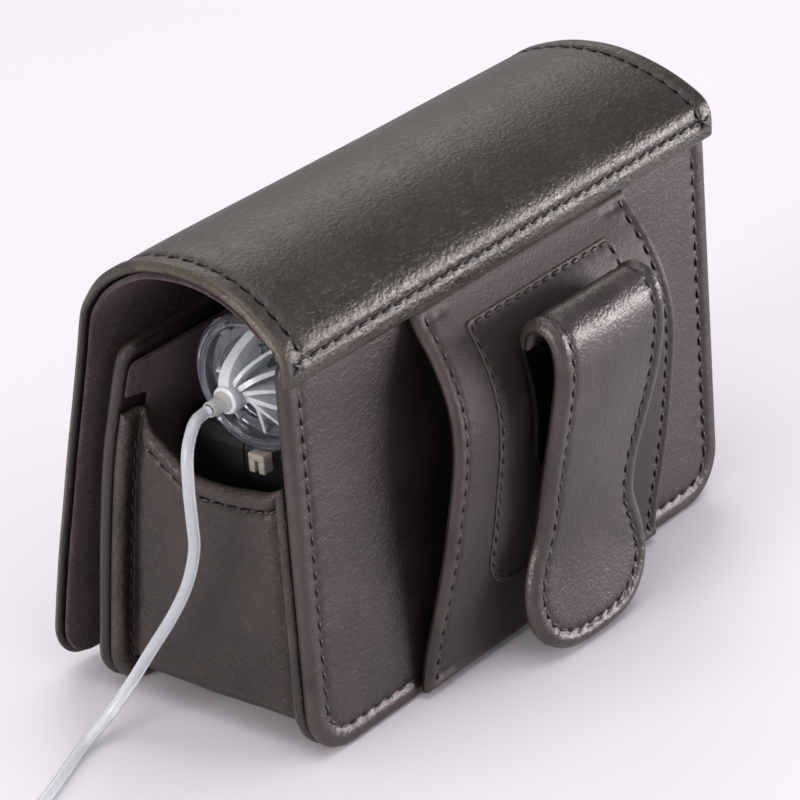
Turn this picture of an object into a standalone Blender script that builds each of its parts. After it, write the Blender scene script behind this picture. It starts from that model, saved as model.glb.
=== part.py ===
"""Belt-worn oxygen concentrator in a leather case, with a belt clip and a thin outlet tube.

Lengths are written in millimetres and turned into metres by MM when a shape is made.
The case stands on a table: X runs along it from the tube end to the far end, -Y is the
side with the belt loop and the clip, +Y the side that the flap closes over, Z is up.
"""

import math

import bmesh
import bpy
from mathutils import Matrix, Vector

MM = 0.001

# The case, measured from the middle of its footprint.
HALF_LENGTH = 55.0
BACK_FACE = -23.3
BACK_TOP = 70.4
LEATHER = 2.3
CORNER = 9.0
GAP = 0.3
SEAM_LIP = 4.0
GUSSET_WALL = 1.8
FLANGE = 1.6
LINING = 0.6
CASE_SHIFT_X = 0.5
CASE_SHIFT_Y = 5.36

# Outer face of the front panel, from its lower edge up, as (y, z).
FRONT_FACE = [
    (23.3, 0.0), (22.9, 5.0), (22.0, 10.0), (20.0, 25.0), (17.2, 42.0),
    (14.5, 53.0), (11.6, 62.7), (9.4, 66.2),
]
# Upper edge of each end wall, from back to front, as (y, z).
MOUTH_EDGE = [
    (-30.0, 50.0), (-19.0, 48.5), (-14.0, 46.2), (-6.0, 45.6), (2.0, 46.2),
    (9.0, 49.4), (14.3, 52.4), (24.0, 56.0),
]

# The flap, from its fold at the back, over the top and down the front, as (y, z).
FLAP_FACE = [
    (-24.0, 72.9), (-21.2, 75.6), (-17.5, 77.9), (-13.0, 79.7), (-8.0, 80.7),
    (-3.0, 80.9), (3.0, 80.2), (8.0, 78.5), (12.4, 76.0), (15.2, 73.0),
    (16.9, 69.8), (18.5, 63.0), (20.8, 53.5), (23.2, 43.9), (25.4, 34.4),
    (27.7, 24.6), (29.7, 14.8), (30.9, 8.0), (31.7, 2.6),
]
FLAP_HALF_LENGTH = 55.8
FLAP_CENTRE = -0.5
FLAP_LEATHER = 1.5
FLAP_LINING = 0.8
FLAP_HINGE = (-22.9, 72.3)

# The belt loop, outer face from its lower edge up, as (y, z).
LOOP_FACE = [
    (-25.6, 1.2), (-25.9, 5.0), (-26.9, 10.0), (-28.2, 15.0), (-29.4, 20.0),
    (-30.5, 25.0), (-31.4, 30.0), (-32.2, 35.0), (-33.0, 40.0), (-33.4, 45.0),
    (-33.1, 50.0), (-31.8, 55.0), (-29.6, 60.0), (-26.7, 64.0), (-25.7, 66.0),
]
LOOP_LEATHER = 1.9
LOOP_CENTRE = 2.0
LOOP_HALF_TOP = 27.7
LOOP_HALF_BOTTOM = 31.6
PATCH = 1.0
LEG = 0.9

# The clip tongue, outer face from the hinge over the fold and down, as (y, z).
TONGUE_FACE = [
    (-33.4, 57.2), (-33.7, 59.4), (-35.0, 61.5), (-37.4, 62.5), (-39.9, 61.8),
    (-41.6, 59.6), (-42.3, 56.6), (-42.2, 52.0), (-40.9, 45.0), (-39.0, 37.0),
    (-36.9, 28.0), (-35.4, 20.0), (-35.3, 14.0), (-36.0, 7.0), (-37.0, 0.8),
]
TONGUE_COVER = 1.0
TONGUE_STEEL = 0.6
TONGUE_BACKING = 0.6
CLIP_HINGE = (-34.8, 56.8)
# Half the width of the tongue at each height.
TONGUE_HALF_WIDTHS = [
    (66.0, 13.0), (45.0, 13.0), (34.0, 12.8), (27.0, 12.4), (22.0, 12.8),
    (18.0, 14.2), (14.0, 15.3), (10.0, 15.4), (6.0, 13.9), (3.0, 10.8),
    (1.4, 7.2), (0.8, 2.6),
]

# The oxygen unit inside.
HOUSING_X = (-42.0, 45.0)
HOUSING_Y = (-19.6, 11.6)
HOUSING_Z = (7.5, 47.5)
HOUSING_SPLIT = -2.0
HOUSING_WALL = 1.8
BARREL_Y = -8.0
BARREL_Z = 59.1
BARREL_X = (-41.7, 22.0)
BARREL_R = 10.0
CAP_FACE = -45.4
CAP_R = 11.5
NOZZLE_TIP = -55.5

# The outlet tube.
TUBE_R = 1.0
TUBE_ROUTE = [
    (-55.8, -8.0, 59.1), (-59.0, -8.2, 58.6), (-62.0, -8.9, 55.2),
    (-63.0, -9.3, 50.0), (-62.7, -9.0, 44.0), (-62.0, -8.2, 38.0),
    (-61.6, -5.6, 31.0), (-61.6, -1.6, 24.0), (-62.0, 3.2, 16.9),
    (-63.2, 7.6, 9.8), (-66.0, 10.6, 4.4), (-71.0, 11.4, 1.6),
    (-76.5, 9.7, 1.05), (-82.5, 7.4, 1.0), (-89.0, 5.2, 1.0),
    (-96.0, 3.4, 1.0), (-103.4, 2.1, 1.0), (-111.4, 1.5, 1.1),
]
COIL_CENTRE = (-118.6, -13.6)
COIL_R = (5.0, 15.3)
COIL_Z = (0.6, 8.6)
TIE = 0.3
TAIL_ROUTE = [
    (-119.4, -30.3, 7.2), (-114.0, -30.8, 5.6), (-108.6, -32.2, 3.9), (-103.2, -34.6, 3.4),
]
CONNECTOR_START = (-102.9, -34.75, 3.4)
CONNECTOR_TURN = -24.0

HALF_PI = math.pi / 2


# --- plain helpers -------------------------------------------------------------------


def clear_scene():
    """Start from an empty scene."""
    for old in list(bpy.data.objects):
        bpy.data.objects.remove(old)


def new_collection(name):
    """Add a collection to the scene."""
    group = bpy.data.collections.new(name)
    bpy.context.scene.collection.children.link(group)
    return group


def paint(name, colour, roughness, metallic=0.0, alpha=1.0):
    """A plain material."""
    material = bpy.data.materials.new(name)
    material.use_nodes = True
    surface = material.node_tree.nodes["Principled BSDF"]
    surface.inputs["Base Color"].default_value = (*colour, 1.0)
    surface.inputs["Roughness"].default_value = roughness
    surface.inputs["Metallic"].default_value = metallic
    surface.inputs["Alpha"].default_value = alpha
    return material


def empty(name, parent, location):
    """A frame for a moving piece, placed on its joint's axis."""
    frame = bpy.data.objects.new(name, None)
    PARTS.objects.link(frame)
    frame.parent = parent
    frame.location = Vector(location) * MM
    bpy.context.view_layer.update()
    return frame


def attach(thing, parent):
    """Hang a shape, drawn in the case's coordinates, on one of the frames."""
    thing.parent = parent
    thing.matrix_parent_inverse = parent.matrix_world.inverted() @ CASE.matrix_world
    return thing


def node(thing, material, parent):
    """Turn a shape into one of the object's pieces."""
    thing.data.materials.clear()
    thing.data.materials.append(material)
    PARTS.objects.link(thing)
    return attach(thing, parent)


def cutter(thing):
    """Turn a shape into a helper that only cuts."""
    CUTTERS.objects.link(thing)
    thing.hide_render = True
    thing.display_type = "WIRE"
    return attach(thing, CASE)


def boolean(thing, other, operation):
    """Combine a shape with a helper shape."""
    step = thing.modifiers.new(operation.lower(), "BOOLEAN")
    step.operation = operation
    step.solver = "EXACT"
    step.object = other
    return thing


def bevel(thing, width, segments=2, angle=35.0):
    """Round the sharp edges of a shape."""
    step = thing.modifiers.new("rounded", "BEVEL")
    step.width = width * MM
    step.segments = segments
    step.limit_method = "ANGLE"
    step.angle_limit = math.radians(angle)
    return thing


def smooth(thing, angle=35.0):
    """Shade the round faces of a shape smooth."""
    thing.data.shade_smooth()
    thing.data.set_sharp_from_angle(angle=math.radians(angle))
    return thing


def mesh_object(name, fill):
    """A mesh object whose shape is made by a function that works on a bmesh."""
    mesh = bpy.data.meshes.new(name)
    shape = bmesh.new()
    fill(shape)
    bmesh.ops.remove_doubles(shape, verts=shape.verts, dist=1e-6)
    bmesh.ops.recalc_face_normals(shape, faces=shape.faces)
    shape.to_mesh(mesh)
    shape.free()
    return bpy.data.objects.new(name, mesh)


PLANES = {
    "XY": Matrix.Identity(4),
    "XZ": Matrix(((1, 0, 0, 0), (0, 0, -1, 0), (0, 1, 0, 0), (0, 0, 0, 1))),
    "YZ": Matrix(((0, 0, 1, 0), (1, 0, 0, 0), (0, 1, 0, 0), (0, 0, 0, 1))),
}
NORMALS = {"XY": (0, 0, 1), "XZ": (0, 1, 0), "YZ": (1, 0, 0)}


def slab(name, plane, outlines, start, end):
    """A flat outline, with any holes after it, given depth from start to end."""
    data = bpy.data.curves.new(name, "CURVE")
    data.dimensions = "2D"
    data.fill_mode = "BOTH"
    data.extrude = abs(end - start) / 2 * MM
    for outline in outlines:
        spline = data.splines.new("POLY")
        spline.points.add(len(outline) - 1)
        for point, (a, b) in zip(spline.points, outline):
            point.co = (a * MM, b * MM, 0.0, 1.0)
        spline.use_cyclic_u = True
    drawn = bpy.data.objects.new(name + "_outline", data)
    bpy.context.scene.collection.objects.link(drawn)
    graph = bpy.context.evaluated_depsgraph_get()
    mesh = bpy.data.meshes.new_from_object(drawn.evaluated_get(graph))
    bpy.data.objects.remove(drawn)
    middle = Vector(NORMALS[plane]) * ((start + end) / 2 * MM)
    mesh.transform(Matrix.Translation(middle) @ PLANES[plane])
    shape = bmesh.new()
    shape.from_mesh(mesh)
    bmesh.ops.remove_doubles(shape, verts=shape.verts, dist=1e-6)
    bmesh.ops.recalc_face_normals(shape, faces=shape.faces)
    shape.to_mesh(mesh)
    shape.free()
    mesh.name = name
    return bpy.data.objects.new(name, mesh)


def box(name, x, y, z):
    """A block between two limits on each axis."""
    size = Vector((x[1] - x[0], y[1] - y[0], z[1] - z[0])) * MM
    middle = Vector((x[0] + x[1], y[0] + y[1], z[0] + z[1])) * (MM / 2)

    def fill(shape):
        place = Matrix.Translation(middle) @ Matrix.Diagonal((*size, 1.0))
        bmesh.ops.create_cube(shape, size=1.0, matrix=place)

    return mesh_object(name, fill)


def turned(name, profile, centre, turn, steps=32):
    """A closed (radius, height) profile turned about an axis through the centre."""
    pairs = list(zip(profile, profile[1:] + profile[:1]))
    area = sum(r0 * h1 - r1 * h0 for (r0, h0), (r1, h1) in pairs)
    ordered = profile[::-1] if area > 0 else profile
    closes = not (ordered[0][0] == 0 and ordered[-1][0] == 0)

    mesh = bpy.data.meshes.new(name)
    shape = bmesh.new()
    start = next(index for index, (r, _) in enumerate(ordered) if r == 0) if not closes else 0
    points = [shape.verts.new((r * MM, 0.0, h * MM)) for r, h in ordered[start:] + ordered[:start]]
    following = points[1:] + points[:1] if closes else points[1:]
    for pair in zip(points, following):
        shape.edges.new(pair)
    shape.to_mesh(mesh)
    shape.free()

    thing = bpy.data.objects.new(name, mesh)
    thing.matrix_basis = Matrix.Translation(Vector(centre) * MM) @ turn
    screw = thing.modifiers.new("turned", "SCREW")
    screw.axis = "Z"
    screw.angle = 2 * math.pi
    screw.steps = steps
    screw.render_steps = steps
    screw.use_merge_vertices = True
    screw.merge_threshold = 0.00001
    screw.use_smooth_shade = True
    return thing


ALONG_X = Matrix.Rotation(HALF_PI, 4, "Y")
ALONG_Z = Matrix.Identity(4)


def on_barrel(height):
    """A point on the barrel's axis at a distance along X."""
    return (height, BARREL_Y, BARREL_Z)


def rod(name, radius, start, end, centre, turn, steps=32):
    """A round bar between two heights along its axis."""

    def fill(shape):
        bmesh.ops.create_cone(
            shape, cap_ends=True, segments=steps, radius1=radius * MM, radius2=radius * MM,
            depth=(end - start) * MM, matrix=Matrix.Translation((0, 0, (start + end) / 2 * MM)),
        )

    thing = mesh_object(name, fill)
    thing.matrix_basis = Matrix.Translation(Vector(centre) * MM) @ turn
    return smooth(thing)


def tube_along(name, radius, route, steps):
    """A round cord through the points of a route."""
    line = smooth_line(route, steps)
    data = bpy.data.curves.new(name, "CURVE")
    data.dimensions = "3D"
    data.bevel_depth = radius * MM
    data.bevel_resolution = 2
    data.use_fill_caps = True
    spline = data.splines.new("POLY")
    spline.points.add(len(line) - 1)
    for point, place in zip(spline.points, line):
        point.co = (*(Vector(place) * MM), 1.0)
    return bpy.data.objects.new(name, data)


def smooth_line(points, steps):
    """A smooth line through the points, with a number of steps between each two."""
    knots = [Vector(point) for point in points]
    knots = [2 * knots[0] - knots[1]] + knots + [2 * knots[-1] - knots[-2]]
    line = []
    for a, b, c, d in zip(knots, knots[1:], knots[2:], knots[3:]):
        for step in range(steps):
            t = step / steps
            line.append(
                0.5 * (2 * b + (c - a) * t + (2 * a - 5 * b + 4 * c - d) * t**2
                       + (3 * b - a - 3 * c + d) * t**3)
            )
    return line + [knots[-2]]


def shifted(line, distance):
    """A flat line moved sideways, to its left where the distance is positive."""
    moved = []
    for index, point in enumerate(line):
        before = line[max(index - 1, 0)]
        after = line[min(index + 1, len(line) - 1)]
        along = (after - before).normalized()
        moved.append(point + distance * Vector((-along.y, along.x)))
    return moved


def sheet(points, first, last, steps=2):
    """The cross-section of a bent sheet that lies between two distances from a line."""
    line = smooth_line([Vector(point) for point in points], steps)
    outline = shifted(line, first) + shifted(line, last)[::-1]
    return [tuple(point) for point in outline]


def arc(x, z, radius, start, end, steps=5):
    """Points round part of a circle, with the angles in degrees."""
    turns = [math.radians(start + (end - start) * step / steps) for step in range(steps + 1)]
    return [(x + radius * math.cos(turn), z + radius * math.sin(turn)) for turn in turns]


def panel(half, low, high, low_corner, high_corner):
    """An upright panel's outline, with its lower and upper corners rounded."""
    return (
        arc(half - low_corner, low + low_corner, low_corner, -90, 0)
        + arc(half - high_corner, high - high_corner, high_corner, 0, 90, 3)
        + arc(-half + high_corner, high - high_corner, high_corner, 90, 180, 3)
        + arc(-half + low_corner, low + low_corner, low_corner, 180, 270)
    )


# --- the case ------------------------------------------------------------------------


def front_depth(inset, name, back):
    """The space between the back panel and the front panel, less an inset at the front."""
    line = smooth_line([Vector(point) for point in FRONT_FACE], 2)
    front = [tuple(point) for point in shifted(line, inset)]
    top = front[-1]
    outline = [(back, -6.0), (front[0][0], -6.0)] + front + [(top[0], 95.0), (back, 95.0)]
    return cutter(slab(name, "YZ", [outline], -60.0, 60.0))


def build_panels(leather, suede):
    """The back and front panels, their linings and the stiff board in the bottom."""
    back = slab(
        "back_panel", "XZ", [panel(HALF_LENGTH, 0.0, BACK_TOP, CORNER, 3.0)],
        BACK_FACE, BACK_FACE + LEATHER,
    )
    node(bevel(back, 0.5, 1), leather, CASE)

    outline = cutter(slab(
        "front_outline", "XZ", [panel(HALF_LENGTH, 0.0, 65.8, CORNER, 3.0)], -5.0, 30.0))
    front = slab("front_panel", "YZ", [sheet(FRONT_FACE, 0.0, LEATHER)], -58.0, 58.0)
    node(boolean(front, outline, "INTERSECT"), leather, CASE)

    inner_back = BACK_FACE + LEATHER + GAP
    back_lining = slab(
        "back_lining", "XZ", [panel(48.6, 6.2, 69.0, 4.5, 2.0)],
        inner_back, inner_back + LINING,
    )
    node(back_lining, suede, CASE)

    outline = cutter(slab(
        "lining_outline", "XZ", [panel(48.6, 7.4, 63.4, 4.5, 2.0)], -5.0, 30.0))
    first = LEATHER + GAP
    lining = slab(
        "front_lining", "YZ", [sheet(FRONT_FACE, first, first + LINING)], -58.0, 58.0)
    node(boolean(lining, outline, "INTERSECT"), suede, CASE)


def u_shape(inset, corner, top):
    """The outline of the inside of the end walls and bottom, at an inset from the panels."""
    return panel(HALF_LENGTH - inset, inset, top, corner, 0.01)


def build_gusset(leather, board):
    """The one strip that makes both end walls and the bottom, with its seam flanges."""
    wall = SEAM_LIP + GUSSET_WALL
    gusset = slab(
        "gusset", "XZ",
        [panel(HALF_LENGTH, 0.0, 62.0, CORNER, 0.01), u_shape(wall, 4.5, 61.99)],
        -30.0, 30.0,
    )
    back = BACK_FACE + LEATHER + GAP
    boolean(gusset, front_depth(LEATHER + GAP, "inside_depth", back), "INTERSECT")

    frame = [(-70.0, -10.0), (70.0, -10.0), (70.0, 100.0), (-70.0, 100.0)]
    recess = cutter(slab("recess", "XZ", [frame, u_shape(SEAM_LIP, 6.0, 90.0)], -30.0, 30.0))
    middle = front_depth(LEATHER + GAP + FLANGE, "recess_depth", back + FLANGE)
    boolean(recess, middle, "INTERSECT")
    boolean(gusset, recess, "DIFFERENCE")

    edge = [tuple(point) for point in smooth_line([Vector(p) for p in MOUTH_EDGE], 3)]
    above = cutter(slab(
        "above_mouth", "YZ", [edge + [(24.0, 99.0), (-30.0, 99.0)]], -70.0, 70.0))
    boolean(gusset, above, "DIFFERENCE")
    node(gusset, leather, CASE)

    for name, side in (("near_end_facing", -1), ("far_end_facing", 1)):
        line = [Vector(point) for point in MOUTH_EDGE[1:6]]
        top = [tuple(point) for point in smooth_line(line, 3)]
        low = [(y, z - 8.0) for y, z in top[::-1]]
        face = HALF_LENGTH - wall - GAP
        ends = sorted((side * face, side * (face - 1.0)))
        node(slab(name, "YZ", [top + low], *ends), leather, CASE)

    flat = [(-45.0, -19.6), (45.0, -19.6), (45.0, 18.5), (-45.0, 18.5)]
    node(slab("base_board", "XY", [flat], 6.1, 7.1), board, CASE)


def build_belt_loop(leather, steel):
    """The belt loop, the patch that carries the clip, and the clip's fixed leg."""
    shape = [(FLAP_CENTRE + x, z) for x, z in panel(FLAP_HALF_LENGTH, 66.4, BACK_TOP, 0.6, 0.6)]
    strip = slab(
        "flap_seam_strip", "XZ", [shape],
        BACK_FACE - GAP - 1.4, BACK_FACE - GAP,
    )
    node(strip, leather, CASE)

    def across(z):
        share = z / 67.0
        return LOOP_HALF_BOTTOM + (LOOP_HALF_TOP - LOOP_HALF_BOTTOM) * share

    wide = [
        (LOOP_CENTRE - across(0.0), 0.0), (LOOP_CENTRE + across(0.0), 0.0),
        (LOOP_CENTRE + across(67.0), 67.0), (LOOP_CENTRE - across(67.0), 67.0),
    ]
    outline = cutter(slab("loop_outline", "XZ", [wide], -50.0, -10.0))
    loop = slab("belt_loop", "YZ", [sheet(LOOP_FACE, -LOOP_LEATHER, 0.0, 1)], -40.0, 40.0)
    node(boolean(loop, outline, "INTERSECT"), leather, CASE)

    shield = [(LOOP_CENTRE + x, z) for x, z in panel(19.0, 14.0, 62.5, 8.0, 1.5)]
    outline = cutter(slab("patch_outline", "XZ", [shield], -50.0, -10.0))
    patch = slab("clip_patch", "YZ", [sheet(LOOP_FACE, GAP, GAP + PATCH, 1)], -40.0, 40.0)
    node(boolean(patch, outline, "INTERSECT"), leather, CASE)

    first = 2 * GAP + PATCH
    shape = [(LOOP_CENTRE + x, z) for x, z in panel(12.0, 35.0, 56.2, 4.0, 0.5)]
    outline = cutter(slab("leg_outline", "XZ", [shape], -50.0, -10.0))
    leg = slab("clip_back_leg", "YZ", [sheet(LOOP_FACE, first, first + LEG, 1)], -40.0, 40.0)
    node(boolean(leg, outline, "INTERSECT"), steel, CASE)

    for name, side in (("clip_rivet_left", -1), ("clip_rivet_right", 1)):
        centre = (LOOP_CENTRE + side * 7.0, -36.2, 45.0)
        head = turned(
            name, [(0, 0.0), (2.1, 0.0), (1.7, 0.8), (0.0, 1.0)], centre,
            Matrix.Rotation(HALF_PI, 4, "X"), 16)
        node(head, steel, CASE)


def build_flap(leather, suede, steel, hinge):
    """The flap, its suede lining and the two halves of the snap that holds it down."""
    shape = [(FLAP_CENTRE + x, z) for x, z in panel(FLAP_HALF_LENGTH, 2.9, 90.0, 8.0, 0.01)]
    outline = cutter(slab("flap_outline", "XZ", [shape], -40.0, 45.0))
    flap = slab("flap_leather", "YZ", [sheet(FLAP_FACE, -FLAP_LEATHER, 0.0)], -58.0, 58.0)
    node(boolean(flap, outline, "INTERSECT"), leather, hinge)

    inset = FLAP_HALF_LENGTH - 0.8
    shape = [(FLAP_CENTRE + x, z) for x, z in panel(inset, 3.7, 90.0, 7.4, 0.01)]
    outline = cutter(slab("flap_lining_outline", "XZ", [shape], -40.0, 45.0))
    first = FLAP_LEATHER + GAP
    lining = slab(
        "flap_lining", "YZ", [sheet(FLAP_FACE[1:], -first - FLAP_LINING, -first)],
        -58.0, 58.0)
    node(boolean(lining, outline, "INTERSECT"), suede, hinge)

    lean = math.radians(8.4)
    facing = Matrix.Rotation(lean, 4, "X") @ Matrix.Rotation(-HALF_PI, 4, "X")
    socket = [(2.9, 0.0), (7.0, 0.0), (6.6, 1.3), (3.1, 1.3)]
    node(turned("panel_snap", socket, (0.0, 20.55, 25.0), facing, 28), steel, CASE)

    lean = math.radians(12.8)
    facing = Matrix.Rotation(lean, 4, "X") @ Matrix.Rotation(HALF_PI, 4, "X")
    stud = [(0.0, 0.0), (7.0, 0.0), (6.6, 1.1), (2.4, 1.1), (2.2, 2.5), (0.0, 2.5)]
    node(turned("flap_snap", stud, (0.0, 24.65, 25.0), facing, 28), steel, hinge)


def tongue_outline(name, inset):
    """The tongue's outline seen from the front: a band with a round lobe at its end."""
    right = [(LOOP_CENTRE + half - inset, z) for z, half in TONGUE_HALF_WIDTHS]
    left = [(LOOP_CENTRE - half + inset, z) for z, half in TONGUE_HALF_WIDTHS]
    low = TONGUE_HALF_WIDTHS[-1][0]
    raised = [(x, max(z, low + inset)) for x, z in right[::-1] + left]
    kept = [raised[0]]
    for point in raised[1:]:
        if (Vector(point) - Vector(kept[-1])).length > 0.05:
            kept.append(point)
    return cutter(slab(name, "XZ", [kept], -60.0, -20.0))


def build_tongue(leather, steel, hinge):
    """The clip's sprung tongue: a steel strip between two leather covers."""
    layers = [
        ("clip_cover_outer", 0.0, TONGUE_COVER, 0.0, leather),
        ("clip_spring", TONGUE_COVER + GAP, TONGUE_COVER + GAP + TONGUE_STEEL, 2.2, steel),
        ("clip_cover_inner", TONGUE_COVER + TONGUE_STEEL + 2 * GAP,
         TONGUE_COVER + TONGUE_STEEL + TONGUE_BACKING + 2 * GAP, 0.2, leather),
    ]
    for name, first, last, inset, material in layers:
        outline = tongue_outline(name + "_outline", inset)
        layer = slab(name, "YZ", [sheet(TONGUE_FACE, first, last, 2)], -30.0, 30.0)
        node(boolean(layer, outline, "INTERSECT"), material, hinge)


# --- the oxygen unit -----------------------------------------------------------------


def shell(name, y, open_side, material):
    """One half of the housing, hollow and open on its parting face."""
    half = bevel(box(name, HOUSING_X, y, HOUSING_Z), 2.5, 3)
    wall = HOUSING_WALL
    inside_y = (y[0] - 5.0, y[1] - wall) if open_side < 0 else (y[0] + wall, y[1] + 5.0)
    inside = cutter(box(
        name + "_inside", (HOUSING_X[0] + wall, HOUSING_X[1] - wall), inside_y,
        (HOUSING_Z[0] + wall, HOUSING_Z[1] - wall)))
    past = HOUSING_SPLIT + open_side * 10.0
    keep = sorted((HOUSING_SPLIT - open_side * GAP / 2, past))
    trim = cutter(box(name + "_trim", (-60.0, 60.0), tuple(keep), (0.0, 60.0)))
    boolean(half, inside, "DIFFERENCE")
    boolean(half, trim, "DIFFERENCE")
    return node(half, material, CASE)


def build_housing(dark, green, black, steel, wrap, lens):
    """The housing's two shells and what is inside them."""
    shell("housing_back_shell", (HOUSING_Y[0], HOUSING_SPLIT + 6.0), 1, dark)
    front = shell("housing_front_shell", (HOUSING_SPLIT - 6.0, HOUSING_Y[1]), -1, dark)
    top = HOUSING_Z[1]
    for label, radius, x in (("button_hole", 3.3, -8.0), ("lens_hole", 1.8, 4.0)):
        hole = rod(label, radius, top - 6.0, top + 6.0, (x, 5.2, 0.0), ALONG_Z, 24)
        boolean(front, cutter(hole), "DIFFERENCE")
    slot = box("socket_hole", (26.7, 36.3), (2.4, 8.0), (top - 4.0, top + 4.0))
    boolean(front, cutter(slot), "DIFFERENCE")

    node(box("control_board", (-30.0, 39.0), (-16.0, 8.4), (38.4, 40.0)), green, CASE)
    node(box("board_processor", (-3.0, 9.0), (-13.0, -3.0), (40.3, 41.8)), black, CASE)
    node(rod("board_capacitor", 3.0, 40.3, 44.8, (18.0, -9.0, 0.0), ALONG_Z, 20), black, CASE)
    node(box("charge_socket", (27.0, 36.0), (2.7, 7.7), (40.3, 47.2)), steel, CASE)
    node(rod("status_lens", 1.5, 40.3, 47.9, (4.0, 5.2, 0.0), ALONG_Z, 16), lens, CASE)
    dome = [(0.0, 40.3), (3.2, 40.3), (2.4, 41.8), (0.0, 42.3)]
    node(turned("button_dome", dome, (-8.0, 5.2, 0.0), ALONG_Z, 20), steel, CASE)
    node(rod("battery_cell", 9.0, -32.0, 33.0, (0.0, -4.0, 22.0), ALONG_X, 28), wrap, CASE)
    for name, x in (("battery_contact_near", (-33.9, -32.5)), ("battery_contact_far", (33.5, 34.9))):
        node(box(name, x, (-9.0, 1.0), (14.0, 37.6)), steel, CASE)
    lead = [(30.5, -12.0, 47.8), (32.0, -12.0, 52.0), (31.6, -10.0, 56.6), (29.3, -8.6, 58.8)]
    node(tube_along("cell_lead", 0.7, lead, 3), black, CASE)


def build_barrel(clear, dark, rubber, stack, mesh):
    """The round oxygen cell that lies along the top of the housing."""
    for name, x in (("barrel_saddle_near", -28.0), ("barrel_saddle_far", 12.0)):
        saddle = box(name, (x - 4.0, x + 4.0), (-15.0, -2.6), (HOUSING_Z[1] + GAP, 51.6))
        seat = rod(name + "_seat", BARREL_R + GAP, -60.0, 60.0, on_barrel(0.0), ALONG_X, 48)
        node(boolean(saddle, cutter(seat), "DIFFERENCE"), dark, CASE)

    start, end = BARREL_X
    wall = [(8.9, start), (BARREL_R, start), (BARREL_R, end), (8.9, end)]
    node(turned("cell_barrel", wall, on_barrel(0.0), ALONG_X, 36), clear, CASE)

    plates = [(0.0, -34.0), (8.4, -34.0)]
    for index in range(7):
        x = -34.0 + index * 7.0
        plates += [(8.4, x + 5.0), (7.0, x + 5.4), (7.0, x + 6.6), (8.4, x + 7.0)]
    plates += [(8.4, 19.0), (0.0, 19.0)]
    node(turned("oxygen_cell_stack", plates, on_barrel(0.0), ALONG_X, 24), stack, CASE)

    cap = [(0.0, 22.3), (10.8, 22.3), (10.8, 25.6), (9.6, 27.0), (0.0, 27.0)]
    node(turned("barrel_end_cap", cap, on_barrel(0.0), ALONG_X, 36), dark, CASE)
    disc = [(0.0, 27.3), (6.0, 27.3), (6.0, 28.3), (0.0, 28.3)]
    node(turned("inlet_filter", disc, on_barrel(0.0), ALONG_X, 24), mesh, CASE)

    ring = [(11.0 + 0.65 * math.cos(t * math.pi / 4), -40.6 + 0.65 * math.sin(t * math.pi / 4))
            for t in range(8)]
    node(turned("barrel_seal", ring, on_barrel(0.0), ALONG_X, 36), rubber, CASE)


def build_outlet_cap(clear, frosted, amber, frame):
    """The clear twist-off cap with its fins and nozzle."""
    face = CAP_FACE
    rim = [
        (0.0, -42.0), (CAP_R, -42.0), (CAP_R, face + 0.5), (CAP_R - 0.5, face),
        (CAP_R - 1.3, face), (CAP_R - 1.6, -43.5), (0.0, -43.5),
    ]
    node(turned("outlet_cap", rim, on_barrel(0.0), ALONG_X, 48), clear, frame)

    hub = turned(
        "outlet_fins",
        [(0.0, -43.8), (3.4, -43.8), (3.0, -46.0), (2.0, -52.0), (0.0, -52.0)],
        on_barrel(0.0), ALONG_X, 24)
    for index in range(6):
        outline = [(1.3, -43.8), (9.2, -43.8), (8.8, -45.2), (4.6, -47.6), (1.3, -51.0)]
        turn = Matrix.Rotation(index * math.pi / 3, 4, "X")
        fin = slab("fin_%d" % index, "XY", [[(x, r) for r, x in outline]], -0.55, 0.55)
        fin.data.transform(Matrix.Translation(Vector(on_barrel(0.0)) * MM) @ turn)
        boolean(hub, cutter(fin), "UNION")
    node(hub, frosted, frame)

    tip = [(1.15, -52.3), (1.8, -52.3), (1.5, NOZZLE_TIP), (1.15, NOZZLE_TIP)]
    node(turned("outlet_nozzle", tip, on_barrel(0.0), ALONG_X, 20), frosted, frame)

    for_lug = BARREL_Z - CAP_R - GAP
    lug = box("cap_lock_tab", (-46.4, -43.4), (BARREL_Y - 1.9, BARREL_Y + 1.9),
              (for_lug - 3.2, for_lug))
    notch = box("tab_notch", (-50.0, -40.0), (BARREL_Y - 0.45, BARREL_Y + 0.45),
                (for_lug - 5.0, for_lug - 1.4))
    node(boolean(lug, cutter(notch), "DIFFERENCE"), amber, frame)


def build_button(black, frame):
    """The push button in the top of the housing."""
    top = HOUSING_Z[1]
    profile = [
        (0.0, top - 4.0), (4.0, top - 4.0), (4.0, top - 2.5), (3.0, top - 2.5),
        (3.0, top + 0.9), (2.6, top + 1.3), (0.0, top + 1.3),
    ]
    node(turned("power_button", profile, (-8.0, 5.2, 0.0), ALONG_Z, 24), black, frame)


# --- the outlet tube -----------------------------------------------------------------


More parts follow.
